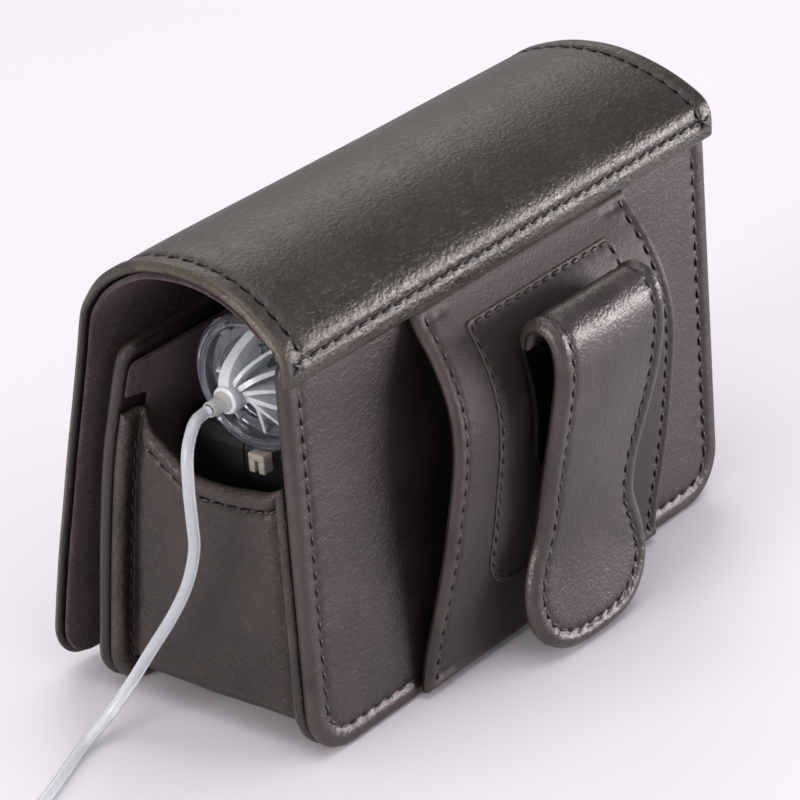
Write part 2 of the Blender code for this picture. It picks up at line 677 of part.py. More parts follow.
def build_tube(vinyl, tie, clear, blue):
    """The outlet tube, its tied coil, and the fitting at its far end."""
    node(tube_along("tube", TUBE_R, TUBE_ROUTE, 4), vinyl, CASE)
    inner, outer = COIL_R
    low, high = COIL_Z
    middle, half = (inner + outer) / 2, (outer - inner) / 2
    level, rise = (low + high) / 2, (high - low) / 2
    ring = []
    for step in range(12):
        turn = (step + 0.5) * math.pi / 6
        ring.append((middle + half * math.copysign(abs(math.cos(turn)) ** 0.6, math.cos(turn)),
                     level + rise * math.copysign(abs(math.sin(turn)) ** 0.6, math.sin(turn))))
    centre = (*COIL_CENTRE, 0.0)
    node(turned("tube_coil", ring, centre, ALONG_Z, 40), vinyl, CASE)

    bound, thick = GAP, TIE
    low_r, high_r = inner - bound, outer + bound
    hole = [(low_r, low - bound), (high_r, low - bound), (high_r, high + bound),
            (low_r, high + bound)]
    band = [(low_r - thick, low - bound - thick), (high_r + thick, low - bound - thick),
            (high_r + thick, high + bound + thick), (low_r - thick, high + bound + thick)]
    strap = slab("coil_tie", "XZ", [band, hole], -1.6, 1.6)
    away = Matrix.Rotation(math.radians(30.0), 4, "Z")
    strap.data.transform(Matrix.Translation(Vector(centre) * MM) @ away)
    node(strap, tie, CASE)

    node(tube_along("tube_tail", TUBE_R, TAIL_ROUTE, 3), vinyl, CASE)
    turn = Matrix.Rotation(math.radians(CONNECTOR_TURN), 4, "Z") @ ALONG_X
    body = [
        (0.0, 0.0), (1.9, 0.0), (2.3, 3.0), (2.3, 6.0), (3.2, 6.4), (3.2, 12.0),
        (2.2, 12.4), (2.2, 13.4), (0.0, 13.4),
    ]
    node(turned("tube_connector", body, CONNECTOR_START, turn, 24), clear, CASE)
    stopper = [
        (0.0, 13.7), (2.6, 13.7), (3.1, 14.2), (3.1, 20.0), (2.5, 20.8), (0.0, 20.8),
    ]
    node(turned("connector_cap", stopper, CONNECTOR_START, turn, 24), blue, CASE)


clear_scene()
PARTS = new_collection("oxygen_concentrator")
CUTTERS = new_collection("cutters")
CUTTERS.hide_render = True

CASE = bpy.data.objects.new("case_frame", None)
PARTS.objects.link(CASE)
CASE.location = Vector((CASE_SHIFT_X, CASE_SHIFT_Y, 0.0)) * MM
bpy.context.view_layer.update()

FLAP = empty("flap_frame", CASE, (0.0, *FLAP_HINGE))
TONGUE = empty("tongue_frame", CASE, (LOOP_CENTRE, *CLIP_HINGE))
CAP = empty("cap_frame", CASE, (CAP_FACE, BARREL_Y, BARREL_Z))
BUTTON = empty("button_frame", CASE, (-8.0, 5.2, HOUSING_Z[1]))

LEATHER_BLACK = paint("case leather", (0.045, 0.04, 0.038), 0.42)
LEATHER_EDGE = paint("edge leather", (0.035, 0.031, 0.03), 0.5)
SUEDE = paint("suede", (0.03, 0.024, 0.024), 0.95)
FIBRE = paint("fibre board", (0.12, 0.1, 0.08), 0.9)
STEEL = paint("spring steel", (0.45, 0.45, 0.46), 0.3, 1.0)
DARK = paint("housing plastic", (0.03, 0.03, 0.035), 0.5)
BLACK = paint("black plastic", (0.015, 0.015, 0.016), 0.4)
GREEN = paint("circuit board", (0.02, 0.16, 0.07), 0.45)
WRAP = paint("cell wrapper", (0.05, 0.18, 0.5), 0.35)
LENS = paint("lens", (0.2, 0.75, 0.35), 0.15, 0.0, 0.8)
CLEAR = paint("clear plastic", (0.82, 0.85, 0.92), 0.05, 0.0, 0.35)
FROSTED = paint("frosted plastic", (0.85, 0.88, 0.92), 0.3, 0.0, 0.7)
AMBER = paint("natural nylon", (0.75, 0.7, 0.6), 0.4)
RUBBER = paint("seal rubber", (0.02, 0.02, 0.02), 0.7)
STACK = paint("cell plates", (0.3, 0.31, 0.33), 0.4, 0.8)
MESH = paint("filter felt", (0.5, 0.5, 0.48), 0.95)
VINYL = paint("tube vinyl", (0.85, 0.89, 0.95), 0.08, 0.0, 0.5)
STRAP = paint("tie", (0.8, 0.8, 0.82), 0.5)
BLUE = paint("fitting cap", (0.1, 0.3, 0.7), 0.35)

build_panels(LEATHER_BLACK, SUEDE)
build_gusset(LEATHER_EDGE, FIBRE)
build_belt_loop(LEATHER_BLACK, STEEL)
build_flap(LEATHER_BLACK, SUEDE, STEEL, FLAP)
build_tongue(LEATHER_BLACK, STEEL, TONGUE)
build_housing(DARK, GREEN, BLACK, STEEL, WRAP, LENS)
build_barrel(CLEAR, DARK, RUBBER, STACK, MESH)
build_outlet_cap(CLEAR, FROSTED, AMBER, CAP)
build_button(BLACK, BUTTON)
build_tube(VINYL, STRAP, CLEAR, BLUE)
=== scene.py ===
"""A belt-worn oxygen concentrator in a stitched black leather case, with its outlet tube.

Lengths are in millimetres in the case's own coordinates and become metres of the shared
frame in metres_of. X runs along the case from the tube end, -Y is the side with the belt
loop and clip, +Y the side that the flap closes over, Z is up.
"""

import logging
import math
from dataclasses import dataclass, field
from enum import Enum
from typing import Callable, Iterable, Sequence

import bmesh
import bpy
import numpy as np
from mathutils import Matrix, Vector, noise


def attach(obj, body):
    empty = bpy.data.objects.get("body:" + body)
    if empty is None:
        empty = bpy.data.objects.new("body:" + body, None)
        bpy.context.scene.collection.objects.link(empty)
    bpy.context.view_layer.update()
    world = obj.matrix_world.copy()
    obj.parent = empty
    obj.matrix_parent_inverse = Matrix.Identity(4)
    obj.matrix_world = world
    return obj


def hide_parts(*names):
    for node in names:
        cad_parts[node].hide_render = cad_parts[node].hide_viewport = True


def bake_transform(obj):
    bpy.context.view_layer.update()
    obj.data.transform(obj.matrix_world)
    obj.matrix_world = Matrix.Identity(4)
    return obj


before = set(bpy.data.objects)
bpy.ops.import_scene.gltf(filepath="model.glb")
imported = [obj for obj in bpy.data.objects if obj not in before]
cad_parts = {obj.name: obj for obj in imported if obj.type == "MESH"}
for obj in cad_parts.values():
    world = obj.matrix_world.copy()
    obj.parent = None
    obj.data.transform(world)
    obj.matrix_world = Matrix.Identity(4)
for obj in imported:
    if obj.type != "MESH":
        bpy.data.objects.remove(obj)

LOG = logging.getLogger("oxygen_concentrator")
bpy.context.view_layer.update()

MM = 0.001
CASE_ORIGIN = np.array((0.5, 5.36, 0.0))
Colour = tuple[float, float, float]
Heights = Callable[[np.ndarray, np.ndarray, np.ndarray, np.ndarray], np.ndarray]

HALF_LENGTH = 55.0
BACK_FACE = -23.3
BACK_TOP = 70.4
LEATHER = 2.3
CORNER = 9.0
GAP = 0.3
SEAM_LIP = 4.0
GUSSET_WALL = 1.8
FLANGE = 1.6
LOOP_CENTRE = 2.0
BARREL_Y = -8.0
BARREL_Z = 59.1

FRONT_FACE = (
    (23.3, 0.0), (22.9, 5.0), (22.0, 10.0), (20.0, 25.0), (17.2, 42.0),
    (14.5, 53.0), (11.6, 62.7), (9.4, 66.2),
)
MOUTH_EDGE = (
    (-30.0, 50.4), (-21.5, 49.0), (-19.0, 46.9), (-15.5, 45.5), (-10.7, 44.8),
    (-6.6, 44.4), (-2.5, 44.5), (0.3, 45.1), (2.2, 46.2), (4.5, 48.0), (6.8, 49.9),
    (9.2, 51.9), (11.5, 53.3), (14.0, 54.0), (24.0, 56.0),
)
FLAP_FACE = (
    (-25.1, 66.4), (-25.2, 69.6), (-24.9, 71.6), (-23.7, 73.6), (-21.2, 75.6),
    (-17.5, 77.9), (-13.0, 79.7), (-8.0, 80.7), (-3.0, 80.9), (3.0, 80.2),
    (8.0, 78.5), (12.4, 76.0), (15.2, 73.0), (16.9, 69.8), (18.5, 63.0),
    (20.8, 53.5), (23.2, 43.9), (25.4, 34.4), (27.7, 24.6), (29.7, 14.8),
    (30.9, 8.0), (31.7, 2.6),
)
LOOP_FACE = (
    (-25.6, 1.2), (-25.9, 5.0), (-26.9, 10.0), (-28.2, 15.0), (-29.4, 20.0),
    (-30.5, 25.0), (-31.4, 30.0), (-32.2, 35.0), (-33.0, 40.0), (-33.4, 45.0),
    (-33.1, 50.0), (-31.8, 55.0), (-29.4, 60.0), (-26.4, 64.4), (-24.7, 67.2),
)
TONGUE_FACE = (
    (-33.4, 57.2), (-33.7, 59.4), (-35.0, 61.5), (-37.4, 62.5), (-39.9, 61.8),
    (-41.6, 59.6), (-42.3, 56.6), (-42.2, 52.0), (-40.9, 45.0), (-39.0, 37.0),
    (-36.9, 28.0), (-35.4, 20.0), (-35.3, 14.0), (-36.0, 7.0), (-37.0, 0.8),
)
TONGUE_HALF_WIDTHS = (
    (0.8, 2.6), (1.4, 7.2), (3.0, 10.8), (6.0, 13.9), (10.0, 15.4), (14.0, 15.3),
    (18.0, 14.2), (22.0, 12.8), (27.0, 12.4), (34.0, 12.8), (45.0, 13.0), (66.0, 13.0),
)


# --- measures and lines --------------------------------------------------------------


def metres_of(points: np.ndarray) -> np.ndarray:
    """Give points of the case in the shared frame.

    Args:
        points: Places in the case's coordinates, in millimetres, one a row.

    Returns:
        The same places in the frame, in metres.
    """
    return (np.asarray(points, float) + CASE_ORIGIN) * MM


def smooth_line(points: Sequence[Sequence[float]], steps: int) -> np.ndarray:
    """Run a smooth line through a few points.

    Args:
        points: The points that the line passes through.
        steps: How many pieces lie between each two of them.

    Returns:
        The line's own points, one a row.
    """
    knots = np.asarray(points, float)
    knots = np.vstack((2 * knots[0] - knots[1], knots, 2 * knots[-1] - knots[-2]))
    share = np.arange(steps)[:, None] / steps
    line = []
    for a, b, c, d in zip(knots, knots[1:], knots[2:], knots[3:]):
        line.append(0.5 * (
            2 * b + (c - a) * share + (2 * a - 5 * b + 4 * c - d) * share**2
            + (3 * b - a - 3 * c + d) * share**3))
    return np.vstack((*line, knots[-2]))


def lengths_along(line: np.ndarray) -> np.ndarray:
    """Measure a line: the length from its start to each of its points.

    Args:
        line: The line's points, one a row.

    Returns:
        One length for each point.
    """
    steps = np.linalg.norm(np.diff(line, axis=0), axis=1)
    return np.concatenate(((0.0,), np.cumsum(steps)))


def directions_along(line: np.ndarray) -> np.ndarray:
    """Give the direction in which a line runs at each of its points.

    Args:
        line: The line's points, one a row.

    Returns:
        One unit vector for each point.
    """
    ahead = np.gradient(line, axis=0)
    return ahead / np.linalg.norm(ahead, axis=1)[:, None]


def waviness(points: np.ndarray, size: float, seed: float = 0.0) -> np.ndarray:
    """Give a smooth random height, from about -1 to 1, at each of many places.

    Args:
        points: The places, in millimetres, one a row.
        size: How far apart the waves are, in millimetres.
        seed: A number that picks other waves.

    Returns:
        One height for each place.
    """
    return np.array([
        noise.noise(Vector((p[0] / size + seed, p[1] / size - seed, p[2] / size)))
        for p in points])


def smoothstep(low: float, high: float, value: np.ndarray) -> np.ndarray:
    """Rise smoothly from 0 at low to 1 at high.

    Args:
        low: Where the rise starts.
        high: Where it ends.
        value: The numbers to be eased.

    Returns:
        The eased numbers, from 0 to 1.
    """
    share = np.clip((value - low) / (high - low), 0.0, 1.0)
    return share * share * (3 - 2 * share)


class BentLine:
    """A smooth line in the side view, as (y, z), measured by the length along it."""

    def __init__(self, knots: Sequence[Sequence[float]], steps: int = 10) -> None:
        """Draw the line.

        Args:
            knots: The points that it passes through.
            steps: How many pieces lie between each two of them.
        """
        self.points = smooth_line(knots, steps)
        self.lengths = lengths_along(self.points)
        ahead = directions_along(self.points)
        self.left = np.column_stack((-ahead[:, 1], ahead[:, 0]))
        self.total = float(self.lengths[-1])

    def at(self, length: np.ndarray) -> tuple[np.ndarray, np.ndarray]:
        """Find places on the line.

        Args:
            length: How far along the line each place is.

        Returns:
            The places and the directions square to the line there, to its left.
        """
        places = [np.interp(length, self.lengths, self.points[:, axis]) for axis in (0, 1)]
        square = [np.interp(length, self.lengths, self.left[:, axis]) for axis in (0, 1)]
        return np.column_stack(places), np.column_stack(square)


# --- flat cuts -----------------------------------------------------------------------


EDGE_STEPS = (0.0, 0.1, 0.3, 0.6, 1.0, 1.5, 2.05, 2.55, 3.0, 3.4, 3.8, 4.2, 4.7, 5.4, 6.3)


class Cut:
    """The flat shape that a piece of leather is cut to, symmetric about its middle line."""

    def __init__(self, length: float, half: Callable[[np.ndarray], np.ndarray]) -> None:
        """Cut the shape.

        Args:
            length: How long the piece is, along its middle line.
            half: Gives half its width at each length.
        """
        self.length = length
        self.half = half
        along = self.rows(0.5)
        side = np.column_stack((half(along), along))
        top = self._across(length)
        bottom = self._across(0.0)
        self.border = np.vstack((
            side, top[::-1][1:-1], (side * (-1, 1))[::-1], bottom[1:-1]))
        loop = np.vstack((self.border, self.border[:1]))
        self.positions = lengths_along(loop)

    def _across(self, at: float) -> np.ndarray:
        """Points along one of the two straight ends, from left to right."""
        half = float(self.half(np.array((at,)))[0])
        xs = np.linspace(-half, half, max(3, int(half * 3)))
        return np.column_stack((xs, np.full_like(xs, at)))

    def rows(self, step: float) -> np.ndarray:
        """Lengths at which the piece has a row of points, closer together at its ends."""
        low = np.array(EDGE_STEPS)
        middle = np.arange(low[-1] + step, self.length - low[-1] - step / 2, step)
        return np.concatenate((low, middle, self.length - low[::-1]))

    def columns(self, step: float) -> np.ndarray:
        """Shares of the half width, from -1 to 1, closer together at the two sides."""
        widest = float(self.half(self.rows(0.5)).max())
        side = 1 - np.array(EDGE_STEPS) / widest
        inner = widest - EDGE_STEPS[-1]
        count = max(3, int(round(2 * inner / step)))
        middle = np.linspace(-inner, inner, count)[1:-1] / widest
        return np.concatenate((-side, middle, side[::-1]))

    def measure(self, x: np.ndarray, t: np.ndarray) -> tuple[np.ndarray, np.ndarray]:
        """Find how far places on the piece are from its border.

        Args:
            x: How far each place is to the side of the middle line.
            t: How far it is along the middle line.

        Returns:
            The distances, and how far along the border its nearest point lies.
        """
        start = self.border
        edge = np.roll(start, -1, axis=0) - start
        square = np.maximum((edge**2).sum(axis=1), 1e-12)
        found, place = np.empty(len(x)), np.empty(len(x))
        for first in range(0, len(x), 2000):
            part = slice(first, first + 2000)
            away = np.column_stack((x[part], t[part]))[:, None, :] - start[None]
            share = np.clip((away * edge).sum(axis=2) / square, 0.0, 1.0)
            gap = np.linalg.norm(away - share[..., None] * edge, axis=2)
            nearest = gap.argmin(axis=1)
            rows = np.arange(len(nearest))
            found[part] = gap[rows, nearest]
            place[part] = (
                self.positions[nearest]
                + share[rows, nearest] * np.sqrt(square[nearest]))
        return found, place

    def inset(self, distance: float) -> np.ndarray:
        """Draw the line that runs all round, a distance inside the border.

        Args:
            distance: How far inside.

        Returns:
            The line's points, starting where the border starts.
        """
        ahead = np.roll(self.border, -1, axis=0) - np.roll(self.border, 1, axis=0)
        ahead /= np.maximum(np.linalg.norm(ahead, axis=1), 1e-9)[:, None]
        inner = self.border + distance * np.column_stack((-ahead[:, 1], ahead[:, 0]))
        found, _ = self.measure(inner[:, 0], inner[:, 1])
        inside = (np.abs(inner[:, 1] - self.length / 2) < self.length / 2)
        return inner[(found > distance - 0.06) & inside]


def rounded_cut(length: float, half: float, low: float, high: float) -> Cut:
    """Cut a straight-sided piece with round corners.

    Args:
        length: Its length.
        half: Half its width.
        low: The radius of the two corners at its start.
        high: The radius of the two at its end.

    Returns:
        The cut.
    """

    def width(t: np.ndarray) -> np.ndarray:
        """Half the width at each length."""
        near, far = np.clip(low - t, 0, low), np.clip(high - (length - t), 0, high)
        return (
            half - (low - np.sqrt(low**2 - near**2)) - (high - np.sqrt(high**2 - far**2)))

    return Cut(length, width)


class Place(Enum):
    """The two faces of a leather piece."""

    OUTER = "outer"
    INNER = "inner"


@dataclass
class Bend:
    """How a flat piece lies on the case: bent along a line in the side view."""

    line: BentLine
    outward: float
    centre: float = 0.0

    def lay(self, x: np.ndarray, t: np.ndarray, height: np.ndarray) -> np.ndarray:
        """Lay places of the flat piece on the case.

        Args:
            x: How far each is to the side of the middle line.
            t: How far along it.
            height: How far it stands above the piece's outer face.

        Returns:
            The places in the case's coordinates.
        """
        where, left = self.line.at(t)
        out = where + left * (np.asarray(height) * self.outward)[:, None]
        return np.column_stack((self.centre + x, out))


Laying = Callable[[np.ndarray, np.ndarray, np.ndarray], np.ndarray]


@dataclass(frozen=True)
class Edge:
    """The rolled edge of a sewn piece and the groove that its stitches pull in."""

    thickness: float
    inset: float = 3.6
    pitch: float = 2.9
    groove: float = 0.42
    groove_width: float = 0.62
    rise: float = 0.3
    pillow: float = 0.25
    radius: float | None = None

    def roll(self, distance: np.ndarray) -> np.ndarray:
        """How far the face has dropped towards mid-thickness, near the rim."""
        radius = self.radius or self.thickness / 2
        inside = np.clip(1 - distance / radius, 0, 1)
        return -self.thickness / 2 * (1 - np.sqrt(1 - inside**2))

    def outer(self, distance: np.ndarray, along: np.ndarray, sewn: np.ndarray) -> np.ndarray:
        """Height of the outer face.

        Args:
            distance: How far each place is from the rim.
            along: How far along the rim.
            sewn: 1 where the edge is sewn, 0 where it is plain.

        Returns:
            The heights above the plain face.
        """
        near = np.clip(distance / self.inset, 0, 1)
        rim = self.rise * np.sin(np.pi * near) ** 0.8 * (near < 1)
        row = np.exp(-(((distance - self.inset) / self.groove_width) ** 2))
        pull = 0.72 + 0.28 * np.cos(2 * np.pi * along / self.pitch)
        wide = np.exp(-(((distance - self.inset) / 1.9) ** 2))
        pucker = 0.07 * np.cos(2 * np.pi * along / self.pitch) * wide
        swell = self.pillow * (1 - np.exp(-np.clip(distance - self.inset, 0, None) / 5))
        return self.roll(distance) + sewn * (rim - self.groove * row * pull - pucker) + swell

    def inner(self, distance: np.ndarray) -> np.ndarray:
        """Height of the inner face, which is plain."""
        return -self.thickness - self.roll(distance)


def add_object(name: str, shape: bmesh.types.BMesh, smooth: bool = True) -> bpy.types.Object:
    """Turn a finished bmesh into a piece at the origin.

    Args:
        name: The piece's name.
        shape: Its mesh, in metres of the frame; it is freed here.
        smooth: Whether its faces are shaded smooth.

    Returns:
        The new object.
    """
    for face in shape.faces:
        face.smooth = smooth
    mesh = bpy.data.meshes.new(name)
    shape.to_mesh(mesh)
    shape.free()
    piece = bpy.data.objects.new(name, mesh)
    bpy.context.scene.collection.objects.link(piece)
    return piece


def close_up(shape: bmesh.types.BMesh, distance: float = 2e-7) -> None:
    """Join points that meet and turn every face outwards.

    Args:
        shape: The mesh.
        distance: How near to each other points are joined, in metres.
    """
    bmesh.ops.remove_doubles(shape, verts=shape.verts, dist=distance)
    bmesh.ops.recalc_face_normals(shape, faces=shape.faces)


@dataclass
class LeatherPiece:
    """A cut piece with two faces that meet in a rounded rim."""

    name: str
    cut: Cut
    lay: Laying
    outer: Heights
    inner: Heights
    across: float = 0.9
    along: float = 0.8

    def build(self) -> bpy.types.Object:
        """Make the mesh.

        Returns:
            The piece, with how far each point is from the rim in its "rim" attribute.
        """
        columns, rows = self.cut.columns(self.across), self.cut.rows(self.along)
        shape = bmesh.new()
        rim = shape.verts.layers.float.new("rim")
        for face in Place:
            made = bmesh.ops.create_grid(
                shape, x_segments=len(columns) - 1, y_segments=len(rows) - 1, size=0.5)
            flat = np.array([vert.co[:2] for vert in made["verts"]]) + 0.5
            column = np.rint(flat[:, 0] * (len(columns) - 1)).astype(int)
            row = np.rint(flat[:, 1] * (len(rows) - 1)).astype(int)
            t = rows[row]
            x = columns[column] * self.cut.half(t)
            distance, along = self.cut.measure(x, t)
            edge = (
                (column == 0) | (column == len(columns) - 1) | (row == 0)
                | (row == len(rows) - 1))
            distance[edge] = 0.0
            heights = self.outer if face is Place.OUTER else self.inner
            places = metres_of(self.lay(x, t, heights(distance, along, x, t)))
            for vert, place, far in zip(made["verts"], places, distance):
                vert.co = place
                vert[rim] = far if face is Place.OUTER else -far - 1.0
        close_up(shape)
        return add_object(self.name, shape)


# --- stitches ------------------------------------------------------------------------


@dataclass
class StitchRow:
    """A row of thick saddle stitches, each a short rounded length of thread."""

    name: str
    pitch: float = 2.9
    length: float = 2.35
    radius: float = 0.27
    slant: float = 9.0
    dive: float = 0.3
    lift: float = 0.0

    def build(
        self, runs: Iterable[tuple[np.ndarray, np.ndarray]], finish: "Finish"
    ) -> bpy.types.Object:
        """Sew the row.

        Args:
            runs: For each run, its points and the direction out of the leather at each.
            finish: The thread's finish.

        Returns:
            The stitches as one piece.
        """
        shape = bmesh.new()
        for points, outward in runs:
            self._sew(shape, points, outward)
        close_up(shape)
        piece = add_object(self.name, shape)
        return dress(piece, finish)

    def _sew(self, shape: bmesh.types.BMesh, points: np.ndarray, outward: np.ndarray) -> None:
        """Add the stitches of one run.

        Args:
            shape: The mesh that they are added to.
            points: The run's line, in the case's coordinates.
            outward: The direction out of the leather at each point.
        """
        lengths = lengths_along(points)
        count = max(1, int(lengths[-1] / self.pitch))
        pitch = lengths[-1] / count
        for index in range(count):
            middle = (index + 0.5) * pitch
            ends = [
                np.array([np.interp(middle + side * self.length / 2, lengths, points[:, axis])
                          for axis in range(3)]) for side in (-1, 1)]
            normal = Vector([np.interp(middle, lengths, outward[:, axis]) for axis in range(3)])
            normal.normalize()
            ahead = Vector(ends[1] - ends[0]).normalized()
            turn = Matrix.Rotation(math.radians(self.slant), 3, normal)
            ahead = turn @ ahead
            side = normal.cross(ahead).normalized()
            centre = Vector((ends[0] + ends[1]) / 2)
            made = bmesh.ops.create_uvsphere(shape, u_segments=7, v_segments=6, radius=1.0)
            for vert in made["verts"]:
                a, b, c = vert.co
                fuller = (1 - abs(c) ** 3.4) ** 0.5 / max((1 - c * c) ** 0.5, 1e-6)
                a, b = (a * fuller, b * fuller) if abs(c) < 0.999 else (0.0, 0.0)
                sunk = self.lift - self.dive * abs(c) ** 3
                local = (
                    centre + ahead * (c * self.length / 2) + side * (b * self.radius)
                    + normal * (a * self.radius + sunk))
                vert.co = Vector(metres_of(np.array(local)))


def seam_run(
    lay: Laying, line: np.ndarray, depth: float
) -> tuple[np.ndarray, np.ndarray]:
    """Lay a flat line on a piece, for stitches to follow.

    Args:
        lay: Where the piece's flat places lie.
        line: The flat line, as (x, t).
        depth: Height of the line above the plain face.

    Returns:
        The line's points and the direction out of the leather at each.
    """
    lengths = lengths_along(line)
    even = np.linspace(0, lengths[-1], max(4, int(lengths[-1] / 0.5)))
    x, t = (np.interp(even, lengths, line[:, axis]) for axis in (0, 1))
    low = lay(x, t, np.full_like(x, depth))
    high = lay(x, t, np.full_like(x, depth + 1.0))
    return low, high - low


# --- finishes ------------------------------------------------------------------------


class Signal:
    """A node's output, on which arithmetic adds Math nodes."""

    def __init__(self, graph: "Graph", socket: bpy.types.NodeSocket) -> None:
        """Wrap a socket of a graph."""
        self.graph = graph
        self.socket = socket

    def _maths(self, operation: str, *values: "Signal | float") -> "Signal":
        """Add a Math node."""
        made = self.graph.node(
            "ShaderNodeMath", {"operation": operation}, dict(enumerate(values)))
        return Signal(self.graph, made.outputs[0])

    def __add__(self, other: "Signal | float") -> "Signal":
        """Self plus other."""
        return self._maths("ADD", self, other)

    def __sub__(self, other: "Signal | float") -> "Signal":
        """Self minus other."""
        return self._maths("SUBTRACT", self, other)

    def __rsub__(self, other: float) -> "Signal":
        """Other minus self."""
        return self._maths("SUBTRACT", other, self)

    def __mul__(self, other: "Signal | float") -> "Signal":
        """Self times other."""
        return self._maths("MULTIPLY", self, other)

    def __pow__(self, other: float) -> "Signal":
        """Self to a power."""
        return self._maths("POWER", self, other)

    __radd__ = __add__
    __rmul__ = __mul__

    def eased(self, low: float, high: float, start: float = 0.0, end: float = 1.0) -> "Signal":
        """Map low..high to start..end with a smooth step, held outside that range."""
        made = self.graph.node(
            "ShaderNodeMapRange", {"interpolation_type": "SMOOTHSTEP"},
            {"Value": self, "From Min": low, "From Max": high, "To Min": start, "To Max": end})
        return Signal(self.graph, made.outputs["Result"])


class Graph:
    """The nodes of one material."""

    def __init__(self, name: str) -> None:
        """Start a material with a Principled BSDF.

        Args:
            name: The material's name.
        """
        self.material = bpy.data.materials.new(name)
        self.material.use_nodes = True
        self.tree = self.material.node_tree
        self.shader = self.tree.nodes["Principled BSDF"]

    def node(
        self, kind: str, settings: dict | None = None, inputs: dict | None = None
    ) -> bpy.types.Node:
        """Add a node.

        Args:
            kind: Its type.
            settings: Properties, set first.
            inputs: Values or signals for its sockets, by name or number.

        Returns:
            The node.
        """
        made = self.tree.nodes.new(kind)
        for key, value in (settings or {}).items():
            setattr(made, key, value)
        for key, value in (inputs or {}).items():
            self.feed(made.inputs[key], value)
        return made

    def feed(self, socket: bpy.types.NodeSocket, value: object) -> None:
        """Give a socket a value or link a signal to it."""
        if isinstance(value, Signal):
            self.tree.links.new(value.socket, socket)
        elif isinstance(value, tuple) and len(value) == 3 and socket.type == "RGBA":
            socket.default_value = (*value, 1.0)
        else:
            socket.default_value = value

    def set(self, **inputs: object) -> "Graph":
        """Feed the shader's sockets, with _ for a space in a name."""
        for key, value in inputs.items():
            self.feed(self.shader.inputs[key.replace("_", " ")], value)
        return self

    def place(self, scale: Colour = (1.0, 1.0, 1.0), turn: Colour = (0.0, 0.0, 0.0)) -> Signal:
        """Object coordinates, stretched and turned."""
        source = self.node("ShaderNodeTexCoord")
        made = self.node(
            "ShaderNodeMapping", {"vector_type": "POINT"},
            {"Vector": Signal(self, source.outputs["Object"]), "Scale": scale, "Rotation": turn})
        return Signal(self, made.outputs[0])

    def noise(
        self, where: Signal, scale: float, detail: float = 3.0, rough: float = 0.55
    ) -> Signal:
        """A noise pattern's value, from 0 to 1."""
        made = self.node(
            "ShaderNodeTexNoise", {},
            {"Vector": where, "Scale": scale, "Detail": detail, "Roughness": rough})
        return Signal(self, made.outputs[0])

    def cells(self, where: Signal, scale: float, feature: str = "F1") -> Signal:
        """A cell pattern's distance."""
        made = self.node(
            "ShaderNodeTexVoronoi", {"feature": feature}, {"Vector": where, "Scale": scale})
        return Signal(self, made.outputs["Distance"])

    def attribute(self, name: str) -> Signal:
        """A number stored on the piece's points."""
        made = self.node("ShaderNodeAttribute", {"attribute_name": name})
        return Signal(self, made.outputs["Fac"])

    def mix(self, factor: Signal | float, first: object, second: object) -> Signal:
        """Blend two colours."""
        made = self.node("ShaderNodeMix", {"data_type": "RGBA"}, {0: factor, 6: first, 7: second})
        return Signal(self, made.outputs[2])

    def bump(self, height: Signal, depth: float, strength: float = 1.0) -> "Graph":
        """Raise and lower the surface by a height, in metres."""
        made = self.node("ShaderNodeBump", {}, {
            "Height": height, "Distance": depth, "Strength": strength})
        return self.set(Normal=Signal(self, made.outputs[0]))


class Finish:
    """Something a piece can be dressed in."""

    name: str

    def draw(self, graph: Graph) -> None:
        """Add the finish's nodes to a graph."""
        raise NotImplementedError


MADE: dict[Finish, bpy.types.Material] = {}


def dress(piece: bpy.types.Object, finish: Finish) -> bpy.types.Object:
    """Give a piece its material.

    Args:
        piece: The piece, or a CAD node.
        finish: Its finish.

    Returns:
        The piece.
    """
    if finish not in MADE:
        graph = Graph(finish.name)
        finish.draw(graph)
        MADE[finish] = graph.material
    piece.data.materials.clear()
    piece.data.materials.append(MADE[finish])
    return piece


